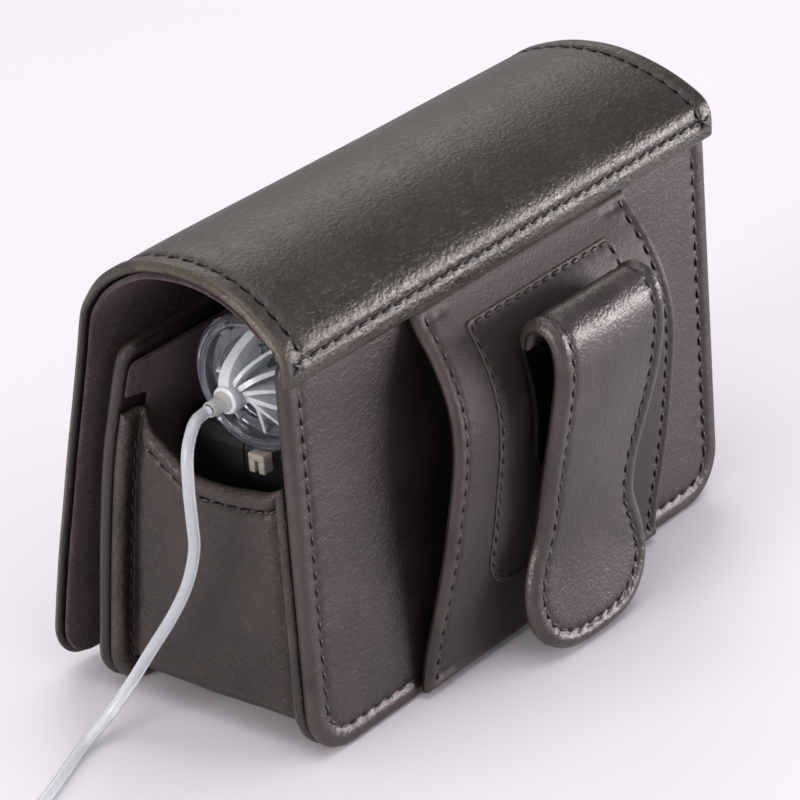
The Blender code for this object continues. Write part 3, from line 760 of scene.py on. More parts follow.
@dataclass(frozen=True)
class Leather(Finish):
    """Smooth black cowhide with a fine grain, lighter at its rims from wear and a painted
    highlight.
    """

    name: str
    dark: Colour = (0.0105, 0.0072, 0.0070)
    light: Colour = (0.0235, 0.0168, 0.0164)
    # Rim colour: wear, made lighter still as a painted highlight.
    rim_wear_and_highlight_colour: Colour = (0.058, 0.046, 0.038)
    rough: float = 0.38
    creases: Colour = (1.0, 1.0, 1.0)
    crease_depth: float = 0.3
    grain: float = 1900.0
    tint: Colour = (1.0, 0.86, 0.87)
    depth: float = 0.00015

    def draw(self, graph: Graph) -> None:
        """Grain, creases with painted shade along them, mottling, and rim wear with a painted
        highlight.
        """
        here = graph.place()
        stretched = graph.place(self.creases)
        warp = graph.noise(here, 210.0, 2.0)
        pebble = graph.cells(here, self.grain, "SMOOTH_F1")
        pores = graph.noise(here, 2600.0, 2.0, 0.6)
        crease = graph.noise(stretched, 520.0, 5.0, 0.62)
        fold = (crease - 0.5) * (crease - 0.5)
        mottle = graph.noise(here, 85.0, 4.0, 0.6)
        rim = graph.attribute("rim")
        # Rim mask: where the rims show wear and a painted highlight.
        rim_wear_and_highlight_mask = rim.eased(0.15, 1.6, 1.0, 0.0) * rim.eased(-0.4, -0.05, 0.0, 1.0)
        rim_wear_and_highlight_mask = rim_wear_and_highlight_mask * mottle.eased(0.3, 0.62, 0.35, 1.0)
        colour = graph.mix(mottle.eased(0.32, 0.7), self.dark, self.light)
        # Painted shade: the colour darkens along the crease lines.
        colour = graph.mix(fold.eased(0.0, 0.012, 0.45, 0.0), colour, self.dark)
        colour = graph.mix(rim_wear_and_highlight_mask * 0.6, colour, self.rim_wear_and_highlight_colour)
        graph.set(
            Base_Color=colour, Roughness=self.rough + (mottle - 0.5) * 0.22
            + (pores - 0.5) * 0.14 - rim_wear_and_highlight_mask * 0.05, Specular_IOR_Level=0.62,
            Specular_Tint=self.tint)
        height = (
            pebble * 0.55 + pores * 0.3 + fold.eased(0.0, 0.02) * self.crease_depth
            + warp * 0.35 + crease * 0.25)
        graph.bump(height, self.depth, 0.8)


@dataclass(frozen=True)
class Suede(Finish):
    """Brushed suede: no shine, a short nap that catches light at a slant."""

    name: str
    colour: Colour = (0.021, 0.0135, 0.0150)
    nap: Colour = (0.085, 0.057, 0.062)

    def draw(self, graph: Graph) -> None:
        """Nap in fine tufts over broader brushed patches."""
        here = graph.place()
        tuft = graph.noise(here, 1500.0, 4.0, 0.75)
        brushed = graph.noise(here, 120.0, 3.0, 0.6)
        colour = graph.mix(
            tuft.eased(0.38, 0.68) * 0.65 + brushed.eased(0.4, 0.7) * 0.35, self.colour, self.nap)
        graph.set(
            Base_Color=colour, Roughness=0.92 + tuft * 0.08, Specular_IOR_Level=0.1,
            Sheen_Weight=0.3, Sheen_Roughness=0.5, Sheen_Tint=(0.85, 0.66, 0.72))
        graph.bump(tuft + brushed * 0.6, 0.0005, 0.9)


@dataclass(frozen=True)
class Thread(Finish):
    """Waxed black thread, laid in a twist."""

    name: str
    colour: Colour = (0.0055, 0.005, 0.0055)

    def draw(self, graph: Graph) -> None:
        """Fine strands with a little wax on them."""
        here = graph.place((1.0, 1.0, 1.0), (0.6, 0.4, 0.8))
        strand = graph.noise(graph.place((700.0, 700.0, 4200.0), (0.5, 0.35, 0.2)), 1.0, 2.0)
        wax = graph.noise(here, 900.0, 2.0)
        graph.set(
            Base_Color=graph.mix(strand, self.colour, (0.016, 0.014, 0.015)),
            Roughness=0.30 + wax * 0.22)
        graph.bump(strand, 0.00008, 0.8)


@dataclass(frozen=True)
class Moulded(Finish):
    """Moulded plastic or rubber, with a spark-eroded texture."""

    name: str
    colour: Colour
    rough: float = 0.45
    texture: float = 0.00004
    scale: float = 2400.0
    sheen: float = 0.5

    def draw(self, graph: Graph) -> None:
        """Texture, faint flow marks and handling."""
        here = graph.place()
        grit = graph.noise(here, self.scale, 3.0, 0.65)
        flow = graph.noise(graph.place((40.0, 120.0, 120.0)), 1.0, 3.0)
        shade = tuple(min(1.0, value * 1.35 + 0.004) for value in self.colour)
        graph.set(
            Base_Color=graph.mix(flow.eased(0.3, 0.75) * 0.55, self.colour, shade),
            Roughness=self.rough + (flow - 0.5) * 0.14 + (grit - 0.5) * 0.1,
            Specular_IOR_Level=self.sheen)
        graph.bump(grit, self.texture, 0.7)


@dataclass(frozen=True)
class Metal(Finish):
    """Rolled steel or plated metal, brushed one way."""

    name: str
    colour: Colour = (0.52, 0.51, 0.50)
    rough: float = 0.3
    brushed: Colour = (40.0, 2400.0, 2400.0)

    def draw(self, graph: Graph) -> None:
        """Brush lines and small stains."""
        lines = graph.noise(graph.place(self.brushed), 1.0, 4.0, 0.6)
        stain = graph.noise(graph.place(), 260.0, 3.0)
        dull = tuple(value * 0.7 for value in self.colour)
        graph.set(
            Base_Color=graph.mix(stain.eased(0.45, 0.75), self.colour, dull), Metallic=1.0,
            Roughness=self.rough + (lines - 0.5) * 0.25 + stain * 0.08)
        graph.bump(lines, 0.00002, 0.6)


@dataclass(frozen=True)
class Clear(Finish):
    """Clear or frosted plastic that light passes through."""

    name: str
    colour: Colour = (0.90, 0.92, 0.97)
    rough: float = 0.05
    through: float = 0.9
    cloud: float = 0.0
    index: float = 1.49

    def draw(self, graph: Graph) -> None:
        """Slight haze, mould ripples and tint."""
        here = graph.place()
        ripple = graph.noise(here, 190.0, 2.0)
        haze = graph.noise(here, 900.0, 4.0, 0.65)
        tint = tuple(value * (0.86 - 0.1 * self.cloud) for value in self.colour)
        graph.set(
            Base_Color=graph.mix(haze.eased(0.4, 0.7) * 0.6, self.colour, tint),
            Roughness=self.rough + haze * (0.05 + 0.25 * self.cloud),
            Transmission_Weight=self.through, IOR=self.index)
        graph.bump(ripple + haze * self.cloud, 0.00006, 0.5)


@dataclass(frozen=True)
class CircuitBoard(Finish):
    """Green solder mask over copper tracks."""

    name: str = "circuit board"

    def draw(self, graph: Graph) -> None:
        """Tracks, pads and mask."""
        grid = graph.place((420.0, 420.0, 60.0))
        tracks = graph.node(
            "ShaderNodeTexBrick", {"offset": 0.5},
            {"Vector": grid, "Scale": 1.0, "Mortar Size": 0.12, "Brick Width": 1.7,
             "Row Height": 0.62, "Color1": (0, 0, 0, 1), "Color2": (0, 0, 0, 1),
             "Mortar": (1, 1, 1, 1)})
        track = Signal(graph, tracks.outputs["Fac"])
        pads = graph.cells(graph.place(), 260.0).eased(0.16, 0.2, 1.0, 0.0)
        mask = graph.mix(track, (0.008, 0.085, 0.03), (0.02, 0.16, 0.055))
        graph.set(
            Base_Color=graph.mix(pads, mask, (0.62, 0.52, 0.30)), Metallic=pads * 0.9,
            Roughness=0.42 - pads * 0.14)
        graph.bump(track * 0.5 + pads, 0.00005, 0.8)


@dataclass(frozen=True)
class CellPlates(Finish):
    """The stacked plates of the electrochemical cell."""

    name: str = "cell plates"

    def draw(self, graph: Graph) -> None:
        """Bands of foil and carbon across the stack."""
        bands = graph.node(
            "ShaderNodeTexWave", {"wave_type": "BANDS", "bands_direction": "X"},
            {"Vector": graph.place(), "Scale": 310.0, "Distortion": 0.4, "Detail": 2.0})
        band = Signal(graph, bands.outputs["Fac"])
        graph.set(
            Base_Color=graph.mix(band, (0.05, 0.052, 0.056), (0.42, 0.43, 0.45)),
            Metallic=band * 0.85, Roughness=0.5 - band * 0.15)
        graph.bump(band, 0.0001, 0.8)


@dataclass(frozen=True)
class Fibre(Finish):
    """Pressed fibre: board or felt."""

    name: str
    colour: Colour
    fleck: Colour
    depth: float = 0.0003

    def draw(self, graph: Graph) -> None:
        """Matted fibres and flecks."""
        matted = graph.noise(graph.place((1.0, 2.2, 1.0)), 900.0, 6.0, 0.7)
        fleck = graph.cells(graph.place(), 1100.0).eased(0.1, 0.35, 1.0, 0.0)
        share = matted.eased(0.35, 0.7) * 0.7 + fleck * 0.3
        graph.set(
            Base_Color=graph.mix(share, self.colour, self.fleck),
            Roughness=0.9 + matted * 0.1, Specular_IOR_Level=0.15)
        graph.bump(matted, self.depth, 0.8)


@dataclass(frozen=True)
class Floor(Finish):
    """The plain pale table."""

    name: str = "table top"
    colour: Colour = (0.80, 0.785, 0.84)

    def draw(self, graph: Graph) -> None:
        """An even, nearly matt white."""
        graph.set(Base_Color=self.colour, Roughness=0.55, Specular_IOR_Level=0.25)


CASE_LEATHER = Leather(
    "case leather", creases=(0.8, 1.3, 1.3), crease_depth=0.15, depth=0.00012, rough=0.43)
# Painted shade: a darker copy of the case leather, for the shade on the loop and patch under the
# clip.
SHADED_LOOP_LEATHER = Leather(
    "loop leather darkened for shade", creases=(0.8, 1.3, 1.3), crease_depth=0.12, depth=0.0001, rough=0.60,
    dark=(0.0075, 0.0051, 0.0051), light=(0.0170, 0.0120, 0.0119))
# The flap's golden rim colour below is wear plus a painted highlight along its crest edge.
FLAP_LEATHER = Leather(
    "flap leather", creases=(0.8, 2.0, 2.0), crease_depth=0.16, depth=0.00022, rough=0.41,
    grain=1500.0, rim_wear_and_highlight_colour=(0.095, 0.080, 0.060),
    dark=(0.0058, 0.0044, 0.0038), light=(0.0145, 0.0112, 0.0096), tint=(1.0, 0.92, 0.84))
# Painted highlight: a lighter copy of the case leather, for the light that the tongue's face
# catches.
LIT_CLIP_LEATHER = Leather(
    "clip leather lightened for highlight", creases=(1.2, 0.7, 0.7), crease_depth=0.2, rough=0.38, tint=(1.0, 0.90, 0.88),
    dark=(0.0150, 0.0108, 0.0112), light=(0.0370, 0.0270, 0.0285))
END_LEATHER = Leather(
    "end leather", dark=(0.0095, 0.0065, 0.0058), light=(0.033, 0.0235, 0.0210), rough=0.46,
    creases=(1.0, 0.8, 1.2), crease_depth=0.6, grain=1500.0, tint=(1.0, 0.88, 0.83),
    depth=0.00022)
SUEDE = Suede("suede lining")
THREAD = Thread("waxed thread")
STEEL = Metal("spring steel", (0.022, 0.020, 0.021), 0.5)
SNAP = Metal("snap metal", (0.60, 0.58, 0.53), 0.24)
HOUSING = Moulded("housing plastic", (0.018, 0.018, 0.021), 0.42)
BLACK = Moulded("black plastic", (0.010, 0.010, 0.011), 0.35)
WRAPPER = Moulded("cell wrapper", (0.02, 0.075, 0.30), 0.3, 0.00002, 600.0)
LENS = Clear("lens", (0.30, 0.85, 0.45), 0.12, 0.6)
CLEAR = Clear("clear cap plastic", (0.92, 0.94, 0.98), 0.03, 0.90)
RIM_CLEAR = Clear("tinted clear rim", (0.86, 0.86, 0.95), 0.02, 0.965)
FROSTED = Clear("frosted plastic", (0.92, 0.96, 1.0), 0.10, 0.38, 0.6)
MILKY = Clear("milky hub plastic", (0.96, 0.96, 0.93), 0.10, 0.62, 0.4)
NYLON = Clear("natural nylon", (0.86, 0.80, 0.71), 0.14, 0.55, 0.15)
RUBBER = Moulded("seal rubber", (0.012, 0.012, 0.012), 0.62, 0.00006, 1600.0, 0.3)
VINYL = Clear("tube vinyl", (0.93, 0.97, 1.0), 0.04, 0.64, 0.1, 1.50)
CLEAR_BARREL = Clear("clear barrel", (0.90, 0.93, 0.97), 0.05, 0.95)
TIE = Moulded("tie strap", (0.70, 0.71, 0.74), 0.5, 0.00005, 1800.0)
BLUE = Moulded("fitting cap", (0.035, 0.14, 0.50), 0.33, 0.00003, 1600.0)
BOARD = Fibre("fibre board", (0.10, 0.082, 0.062), (0.19, 0.16, 0.12))
FELT = Fibre("filter felt", (0.46, 0.46, 0.44), (0.66, 0.66, 0.64), 0.0006)
CIRCUIT = CircuitBoard()
PLATES = CellPlates()
TABLE_TOP = Floor()


# --- the case ------------------------------------------------------------------------


def sheet_pair(edge: Edge, extra: Heights, sewn: Heights) -> tuple[Heights, Heights]:
    """Give the two faces of a plain sewn piece.

    Args:
        edge: Its edge.
        extra: Further height of both faces, such as a slow wave.
        sewn: 1 where the edge is sewn.

    Returns:
        The outer and the inner face's heights.
    """

    def outer(distance: np.ndarray, along: np.ndarray, x: np.ndarray, t: np.ndarray) -> np.ndarray:
        """The outer face."""
        wave = extra(distance, along, x, t)
        return edge.outer(distance, along, sewn(distance, along, x, t)) + wave

    def inner(distance: np.ndarray, along: np.ndarray, x: np.ndarray, t: np.ndarray) -> np.ndarray:
        """The inner face."""
        return edge.inner(distance) + extra(distance, along, x, t)

    return outer, inner


def plain(distance: np.ndarray, along: np.ndarray, x: np.ndarray, t: np.ndarray) -> np.ndarray:
    """No further height."""
    return np.zeros_like(x)


def everywhere(distance: np.ndarray, along: np.ndarray, x: np.ndarray, t: np.ndarray) -> np.ndarray:
    """Sewn all round."""
    return np.ones_like(x)


def wavy(depth: float, size: float, seed: float) -> Heights:
    """A slow wave that dies out at the rim.

    Args:
        depth: Its height.
        size: How far apart its crests are.
        seed: A number that picks other waves.

    Returns:
        The wave as heights.
    """

    def heights(d: np.ndarray, along: np.ndarray, x: np.ndarray, t: np.ndarray) -> np.ndarray:
        """The wave."""
        flat = np.column_stack((x, t, np.full_like(x, seed)))
        return depth * waviness(flat, size, seed) * smoothstep(0.0, 6.0, d)

    return heights


LINING_HALF = 48.6
LINING_EARS = 5.6
LINING_CORNERS = (4.5, 2.0)


@dataclass
class CasePanels:
    """The back and front panels with their linings and seam stitches."""

    half: float = HALF_LENGTH
    front_top: float = 65.8
    edge: Edge = field(default_factory=lambda: Edge(LEATHER, inset=3.6, pillow=0.15))

    def build(self) -> None:
        """Make both panels and sew them."""
        self._back()
        self._front()
        self._linings()

    def _back(self) -> None:
        """The flat back panel."""
        cut = rounded_cut(BACK_TOP, self.half, CORNER, 3.0)
        line = BentLine(((BACK_FACE, 0.0), (BACK_FACE, BACK_TOP / 2), (BACK_FACE, BACK_TOP)))
        lay = Bend(line, 1.0).lay

        def sewn(d: np.ndarray, along: np.ndarray, x: np.ndarray, t: np.ndarray) -> np.ndarray:
            """The top edge has no stitches: the flap's seam lies there."""
            return smoothstep(BACK_TOP - 3.0, BACK_TOP - 6.0, t)

        outer, inner = sheet_pair(self.edge, plain, sewn)
        bowed = wavy(0.22, 26.0, 3.1)

        def face(d: np.ndarray, along: np.ndarray, x: np.ndarray, t: np.ndarray) -> np.ndarray:
            """The outer face, a little uneven where nothing covers it."""
            open_part = smoothstep(63.0, 56.0, t)
            return outer(d, along, x, t) + bowed(d, along, x, t) * open_part

        piece = LeatherPiece("back_panel_leather", cut, lay, face, inner).build()
        finish_piece(piece, CASE_LEATHER, "case", "case_leather", "back_panel")
        line_in = cut.inset(self.edge.inset)
        line_in = line_in[line_in[:, 1] < 65.0]
        middle = int(np.argmax(np.linalg.norm(np.diff(line_in, axis=0), axis=1)))
        line_in = np.roll(line_in, -(middle + 1), axis=0)
        row = StitchRow("back_panel_stitches", pitch=3.0)
        piece = row.build([seam_run(lay, line_in, -0.12)], THREAD)
        join_to(piece, "case")

    def _front(self) -> None:
        """The bowed front panel under the flap."""
        line = BentLine(FRONT_FACE)
        top = float(np.interp(self.front_top, line.points[:, 1], line.lengths))
        cut = rounded_cut(top, self.half, CORNER, 3.0)
        lay = Bend(line, -1.0).lay

        def sewn(d: np.ndarray, along: np.ndarray, x: np.ndarray, t: np.ndarray) -> np.ndarray:
            """Sewn all round, the top hem too."""
            return np.ones_like(x)

        flat = Edge(LEATHER, inset=3.6, pillow=0.0, rise=0.2)
        outer, inner = sheet_pair(flat, plain, sewn)
        piece = LeatherPiece("front_panel_leather", cut, lay, outer, inner, 1.2, 0.9).build()
        finish_piece(piece, CASE_LEATHER, "case", "case_leather", "front_panel")
        row = StitchRow("front_panel_stitches", pitch=3.0, radius=0.27)
        loop = cut.inset(flat.inset)
        piece = row.build([seam_run(lay, np.vstack((loop, loop[:1])), -0.16)], THREAD)
        join_to(piece, "case")

    def _linings(self) -> None:
        """The suede inside both panels."""
        inside = BACK_FACE + LEATHER + GAP
        line = BentLine(((inside, 6.2), (inside, 40.0), (inside, 69.0)))
        cut = rounded_cut(line.total, LINING_HALF, *LINING_CORNERS)
        edge = Edge(0.6, rise=0.0, groove=0.0, pillow=0.0)
        outer, inner = sheet_pair(edge, plain, everywhere)
        piece = LeatherPiece("back_suede", cut, Bend(line, 1.0).lay, outer, inner, 2.2, 2.2).build()
        finish_piece(piece, SUEDE, "case", "suede", "back_lining")

        face = BentLine(FRONT_FACE)
        low, high = (float(np.interp(z, face.points[:, 1], face.lengths)) for z in (7.4, 63.4))
        inner_cut = rounded_cut(high - low, LINING_HALF, *LINING_CORNERS)
        above = float(np.interp(56.2, face.points[:, 1], face.lengths)) - low

        def half(t: np.ndarray) -> np.ndarray:
            """Half its width, which reaches the panel's ends above the end walls."""
            return inner_cut.half(t) + LINING_EARS * smoothstep(above - 0.5, above + 0.5, t)

        cut = Cut(high - low, half)
        bend = Bend(face, -1.0)
        first = LEATHER + GAP

        def lay(x: np.ndarray, t: np.ndarray, height: np.ndarray) -> np.ndarray:
            """Behind the front panel."""
            return bend.lay(x, t + low, height - first)

        piece = LeatherPiece("front_suede", cut, lay, outer, inner, 2.2, 0.8).build()
        finish_piece(piece, SUEDE, "case", "suede", "front_lining")
        rows = np.linspace(0.0, high - low, 200)
        area = 2 * float(np.mean(half(rows))) * (high - low) * MM**2


def finish_piece(
    piece: bpy.types.Object, finish: Finish, body: str, slot: str, *nodes: str
) -> bpy.types.Object:
    """Dress a piece, put it in place of its CAD nodes and let it ride.

    Args:
        piece: The piece.
        finish: Its finish.
        body: The body that it rides on.
        slot: The record's material slot; not used.
        nodes: The CAD nodes that it stands for.

    Returns:
        The piece.
    """
    dress(piece, finish)
    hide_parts(*nodes)
    return join_to(piece, body)


def join_to(piece: bpy.types.Object, body: str) -> bpy.types.Object:
    """Let a dressed piece ride on a body.

    Args:
        piece: The piece.
        body: The body's name.

    Returns:
        The piece.
    """
    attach(piece, body)
    LOG.info("%s: %d faces on %s", piece.name, len(getattr(piece.data, "polygons", ())), body)
    return piece


@dataclass
class Gusset:
    """The one strip that makes both end walls and the bottom, with its seam flanges."""

    lip: float = SEAM_LIP
    corner: float = CORNER
    nominal: float = 36.0
    bend_radius: float = 1.5
    band: float = 2.8
    puff: float = 2.3

    def __post_init__(self) -> None:
        """Work out the section across the strip and the length round the case."""
        middle = self.lip + GUSSET_WALL / 2
        width = self.nominal
        r = self.bend_radius
        turn = np.linspace(0, math.pi / 2, 7)
        first = np.column_stack((middle - r + r * np.sin(turn), r - r * np.cos(turn)))
        second = np.column_stack((middle - r + r * np.cos(turn), width - r + r * np.sin(turn)))
        self.section = np.vstack(((0.0, 0.0), first, second, (0.0, width)))
        self.section_lengths = lengths_along(self.section)
        ahead = directions_along(self.section)
        self.section_left = np.column_stack((-ahead[:, 1], ahead[:, 0]))
        self.front = BentLine(FRONT_FACE)
        self.mouth = smooth_line(MOUTH_EDGE, 6)
        self.side = 38.0
        self.arc = math.pi / 2 * self.corner
        self.bottom = 2 * (HALF_LENGTH - self.corner)
        self.length = 2 * self.side + 2 * self.arc + self.bottom

    def lay(self, s: np.ndarray, t: np.ndarray, height: np.ndarray) -> np.ndarray:
        """Lay the strip round the case.

        Args:
            s: How far each place is across the strip, from its middle.
            t: How far along it, from the near mouth to the far one.
            height: How far above mid-thickness, away from the inside of the case.

        Returns:
            The places in the case's coordinates.
        """
        total = self.section_lengths[-1]
        across = np.clip(s + total / 2, 0, total)
        o, q = (np.interp(across, self.section_lengths, self.section[:, k]) for k in (0, 1))
        no, nq = (
            np.interp(across, self.section_lengths, self.section_left[:, k]) for k in (0, 1))
        o, q = o + no * height, q + nq * height
        z = self._height_guess(t, o)
        back = BACK_FACE + LEATHER + GAP + FLANGE / 2
        for _ in range(3):
            front = np.interp(z, self.front.points[:, 1], self.front.points[:, 0])
            front = front - LEATHER - GAP - FLANGE / 2 - 0.1
            y = back + q / self.nominal * (front - back)
            x, z = self._round(t, o, y)
        return np.column_stack((x, y, z))

    def _height_guess(self, t: np.ndarray, o: np.ndarray) -> np.ndarray:
        """About how high each place is."""
        return self._round(t, o, np.zeros_like(t))[1]

    def _round(
        self, t: np.ndarray, o: np.ndarray, y: np.ndarray
    ) -> tuple[np.ndarray, np.ndarray]:
        """Where the strip is, seen from the back: down one side, along, and up the other."""
        far = t > self.length / 2
        t = np.where(far, self.length - t, t)
        top = np.interp(y, self.mouth[:, 0], self.mouth[:, 1])
        share = np.clip(t / self.side, 0, 1)
        turn = np.clip((t - self.side) / self.arc, 0, 1) * math.pi / 2
        flat = np.clip(t - self.side - self.arc, 0, None)
        radius = self.corner - o
        x = -(HALF_LENGTH - self.corner) - radius * np.cos(turn) + flat
        z = self.corner - radius * np.sin(turn) + (1 - share) * (top - self.corner)
        return np.where(far, -x, x), z

    def lift(self, s: np.ndarray, end: np.ndarray) -> np.ndarray:
        """How far the wall stands out of its recess.

        Args:
            s: How far each place is across the strip.
            end: How far it is from the nearer mouth.

        Returns:
            The heights: full on the walls, less on the bottom, which the case stands on.
        """
        total = float(self.section_lengths[-1])
        wall = smoothstep(total / 2 - self.lip - 0.6, total / 2 - self.lip - 5.0, np.abs(s))
        upright = smoothstep(self.side + self.arc, self.side - 2.0, end)
        return self.puff * wall * (0.35 + 0.65 * upright)

    def build(self) -> None:
        """Make the strip, its mouth bindings and its stitches."""
        total = float(self.section_lengths[-1])
        cut = Cut(self.length, lambda t: np.full_like(t, total / 2))
        half = GUSSET_WALL / 2
        radius = 0.8

        def roll(d: np.ndarray) -> np.ndarray:
            """The share of the half thickness left near the rim."""
            inside = np.clip(1 - d / radius, 0, 1)
            return np.sqrt(1 - inside**2)

        def outer(d: np.ndarray, p: np.ndarray, s: np.ndarray, t: np.ndarray) -> np.ndarray:
            """The face that shows in the recess, with bindings, creases and puff."""
            end = np.minimum(t, self.length - t)
            wall = smoothstep(total / 2 - self.lip - 1.0, total / 2 - self.lip - 3.4, np.abs(s))
            binding = 0.5 * smoothstep(self.band + 0.3, self.band - 0.4, end)
            crease = -0.35 * np.exp(-(((end - self.band - 0.5) / 0.55) ** 2))
            row = np.exp(-(((end - self.band - 0.6) / 0.6) ** 2))
            pull = 0.7 + 0.3 * np.cos(2 * np.pi * s / 3.0)
            puff = self.lift(s, end)
            flat = np.column_stack((s, t, np.zeros_like(s)))
            wave = 0.32 * waviness(flat, 13.0, 1.7) + 0.12 * waviness(flat, 5.0, 4.2)
            corner = np.exp(-(((end - self.side - self.arc / 2) / 7.0) ** 2))
            fold = 0.35 * corner * np.sin(end * 1.15 + 0.05 * s) * wall
            pleat = -0.5 * np.exp(-(((s - 15.5) / 0.8) ** 2)) * smoothstep(12.0, 2.0, end)
            rolled = 0.35 * np.exp(-(((np.abs(s) - total / 2 + 1.5) / 1.0) ** 2))
            relief = (
                (binding + crease - 0.25 * row * pull + pleat) * wall
                + wave * wall * smoothstep(0.5, 6.0, end) + fold + rolled)
            return roll(d) * half + relief * smoothstep(0.0, 1.2, d) + puff

        def inner(d: np.ndarray, p: np.ndarray, s: np.ndarray, t: np.ndarray) -> np.ndarray:
            """The face towards the unit."""
            return self.lift(s, np.minimum(t, self.length - t)) - roll(d) * half

        piece = LeatherPiece("gusset_leather", cut, self.lay, outer, inner, 0.75, 0.8).build()
        finish_piece(
            piece, END_LEATHER, "case", "edge_leather", "gusset", "near_end_facing",
            "far_end_facing")
        self._stitches(total)

    def _stitches(self, total: float) -> None:
        """Stitch rows under both bindings and along both flanges."""
        runs = []
        span = np.linspace(-total / 2 + self.lip + 2.6, total / 2 - self.lip - 2.6, 90)
        for at in (self.band + 0.7, self.length - self.band - 0.7):
            low, high = (
                self.lay(span, np.full_like(span, at),
                         self.lift(span, np.full_like(span, self.band)) + height)
                for height in (GUSSET_WALL / 2 - 0.1, GUSSET_WALL / 2 + 0.9))
            runs.append((low, high - low))
        piece = StitchRow("mouth_stitches", pitch=2.8, radius=0.3).build(runs, THREAD)
        join_to(piece, "case")

        runs = []
        along = np.linspace(self.band + 2.0, self.length - self.band - 2.0, 500)
        for side in (-1, 1):
            line = np.column_stack((np.full_like(along, side * (total / 2 - 3.4)), along))
            runs.append(seam_run(self.lay, line, GUSSET_WALL / 2 - 0.02))
        piece = StitchRow("flange_stitches", pitch=3.0, radius=0.32).build(runs, THREAD)
        join_to(piece, "case")


@dataclass
class BeltLoop:
    """The wide belt loop on the back, with the sewn patch that carries the clip."""

    thickness: float = 1.9
    half_top: float = 27.7
    half_bottom: float = 31.6
    patch: float = 0.4

    def build(self) -> None:
        """Make the loop, the patch and their stitches."""
        line = BentLine(LOOP_FACE)
        heights = line.points[:, 1]

        def half(t: np.ndarray) -> np.ndarray:
            """Half the loop's width at each length."""
            z = np.interp(t, line.lengths, heights)
            return self.half_bottom + (self.half_top - self.half_bottom) * z / 67.0

        cut = Cut(line.total, half)
        edge = Edge(self.thickness, inset=2.3, rise=0.22, pillow=0.15)

        def sewn(d: np.ndarray, along: np.ndarray, x: np.ndarray, t: np.ndarray) -> np.ndarray:
            """Sewn along its two sides only."""
            return smoothstep(9.0, 5.0, half(t) - np.abs(x))

        bend = Bend(line, 1.0, LOOP_CENTRE)
        outer, inner = sheet_pair(edge, wavy(0.05, 18.0, 7.7), sewn)
        piece = LeatherPiece("belt_loop_leather", cut, bend.lay, outer, inner).build()
        finish_piece(piece, SHADED_LOOP_LEATHER, "case", "case_leather", "belt_loop")

        runs = []
        along = np.linspace(1.0, line.total - 0.6, 160)
        for side in (-1, 1):
            path = np.column_stack((side * (half(along) - edge.inset), along))
            runs.append(seam_run(bend.lay, path, -0.1))
        piece = StitchRow("belt_loop_stitches").build(runs, THREAD)
        join_to(piece, "case")
        self._patch(line)

    def _patch(self, line: BentLine) -> None:
        """The shield-shaped patch."""
        rising = line.points[:, 1]
        low, high = (float(np.interp(z, rising, line.lengths)) for z in (14.0, 62.5))
        cut = rounded_cut(high - low, 19.0, 8.0, 1.5)
        bend = Bend(line, 1.0, LOOP_CENTRE)
        lift = self.patch + 0.05

        def lay(x: np.ndarray, t: np.ndarray, height: np.ndarray) -> np.ndarray:
            """On the loop."""
            return bend.lay(x, t + low, height + lift)

        edge = Edge(self.patch, inset=0.8, rise=0.0, groove=0.2, groove_width=0.45, pillow=0.0)
        outer, inner = sheet_pair(edge, plain, everywhere)
        piece = LeatherPiece("clip_patch_leather", cut, lay, outer, inner, 0.8, 0.8).build()
        finish_piece(piece, SHADED_LOOP_LEATHER, "case", "case_leather", "clip_patch")
        loop = cut.inset(edge.inset)
        row = StitchRow("clip_patch_stitches", pitch=2.5, length=2.05, radius=0.27, slant=12.0)
        piece = row.build([seam_run(lay, np.vstack((loop, loop[:1])), 0.05)], THREAD)
        join_to(piece, "case")


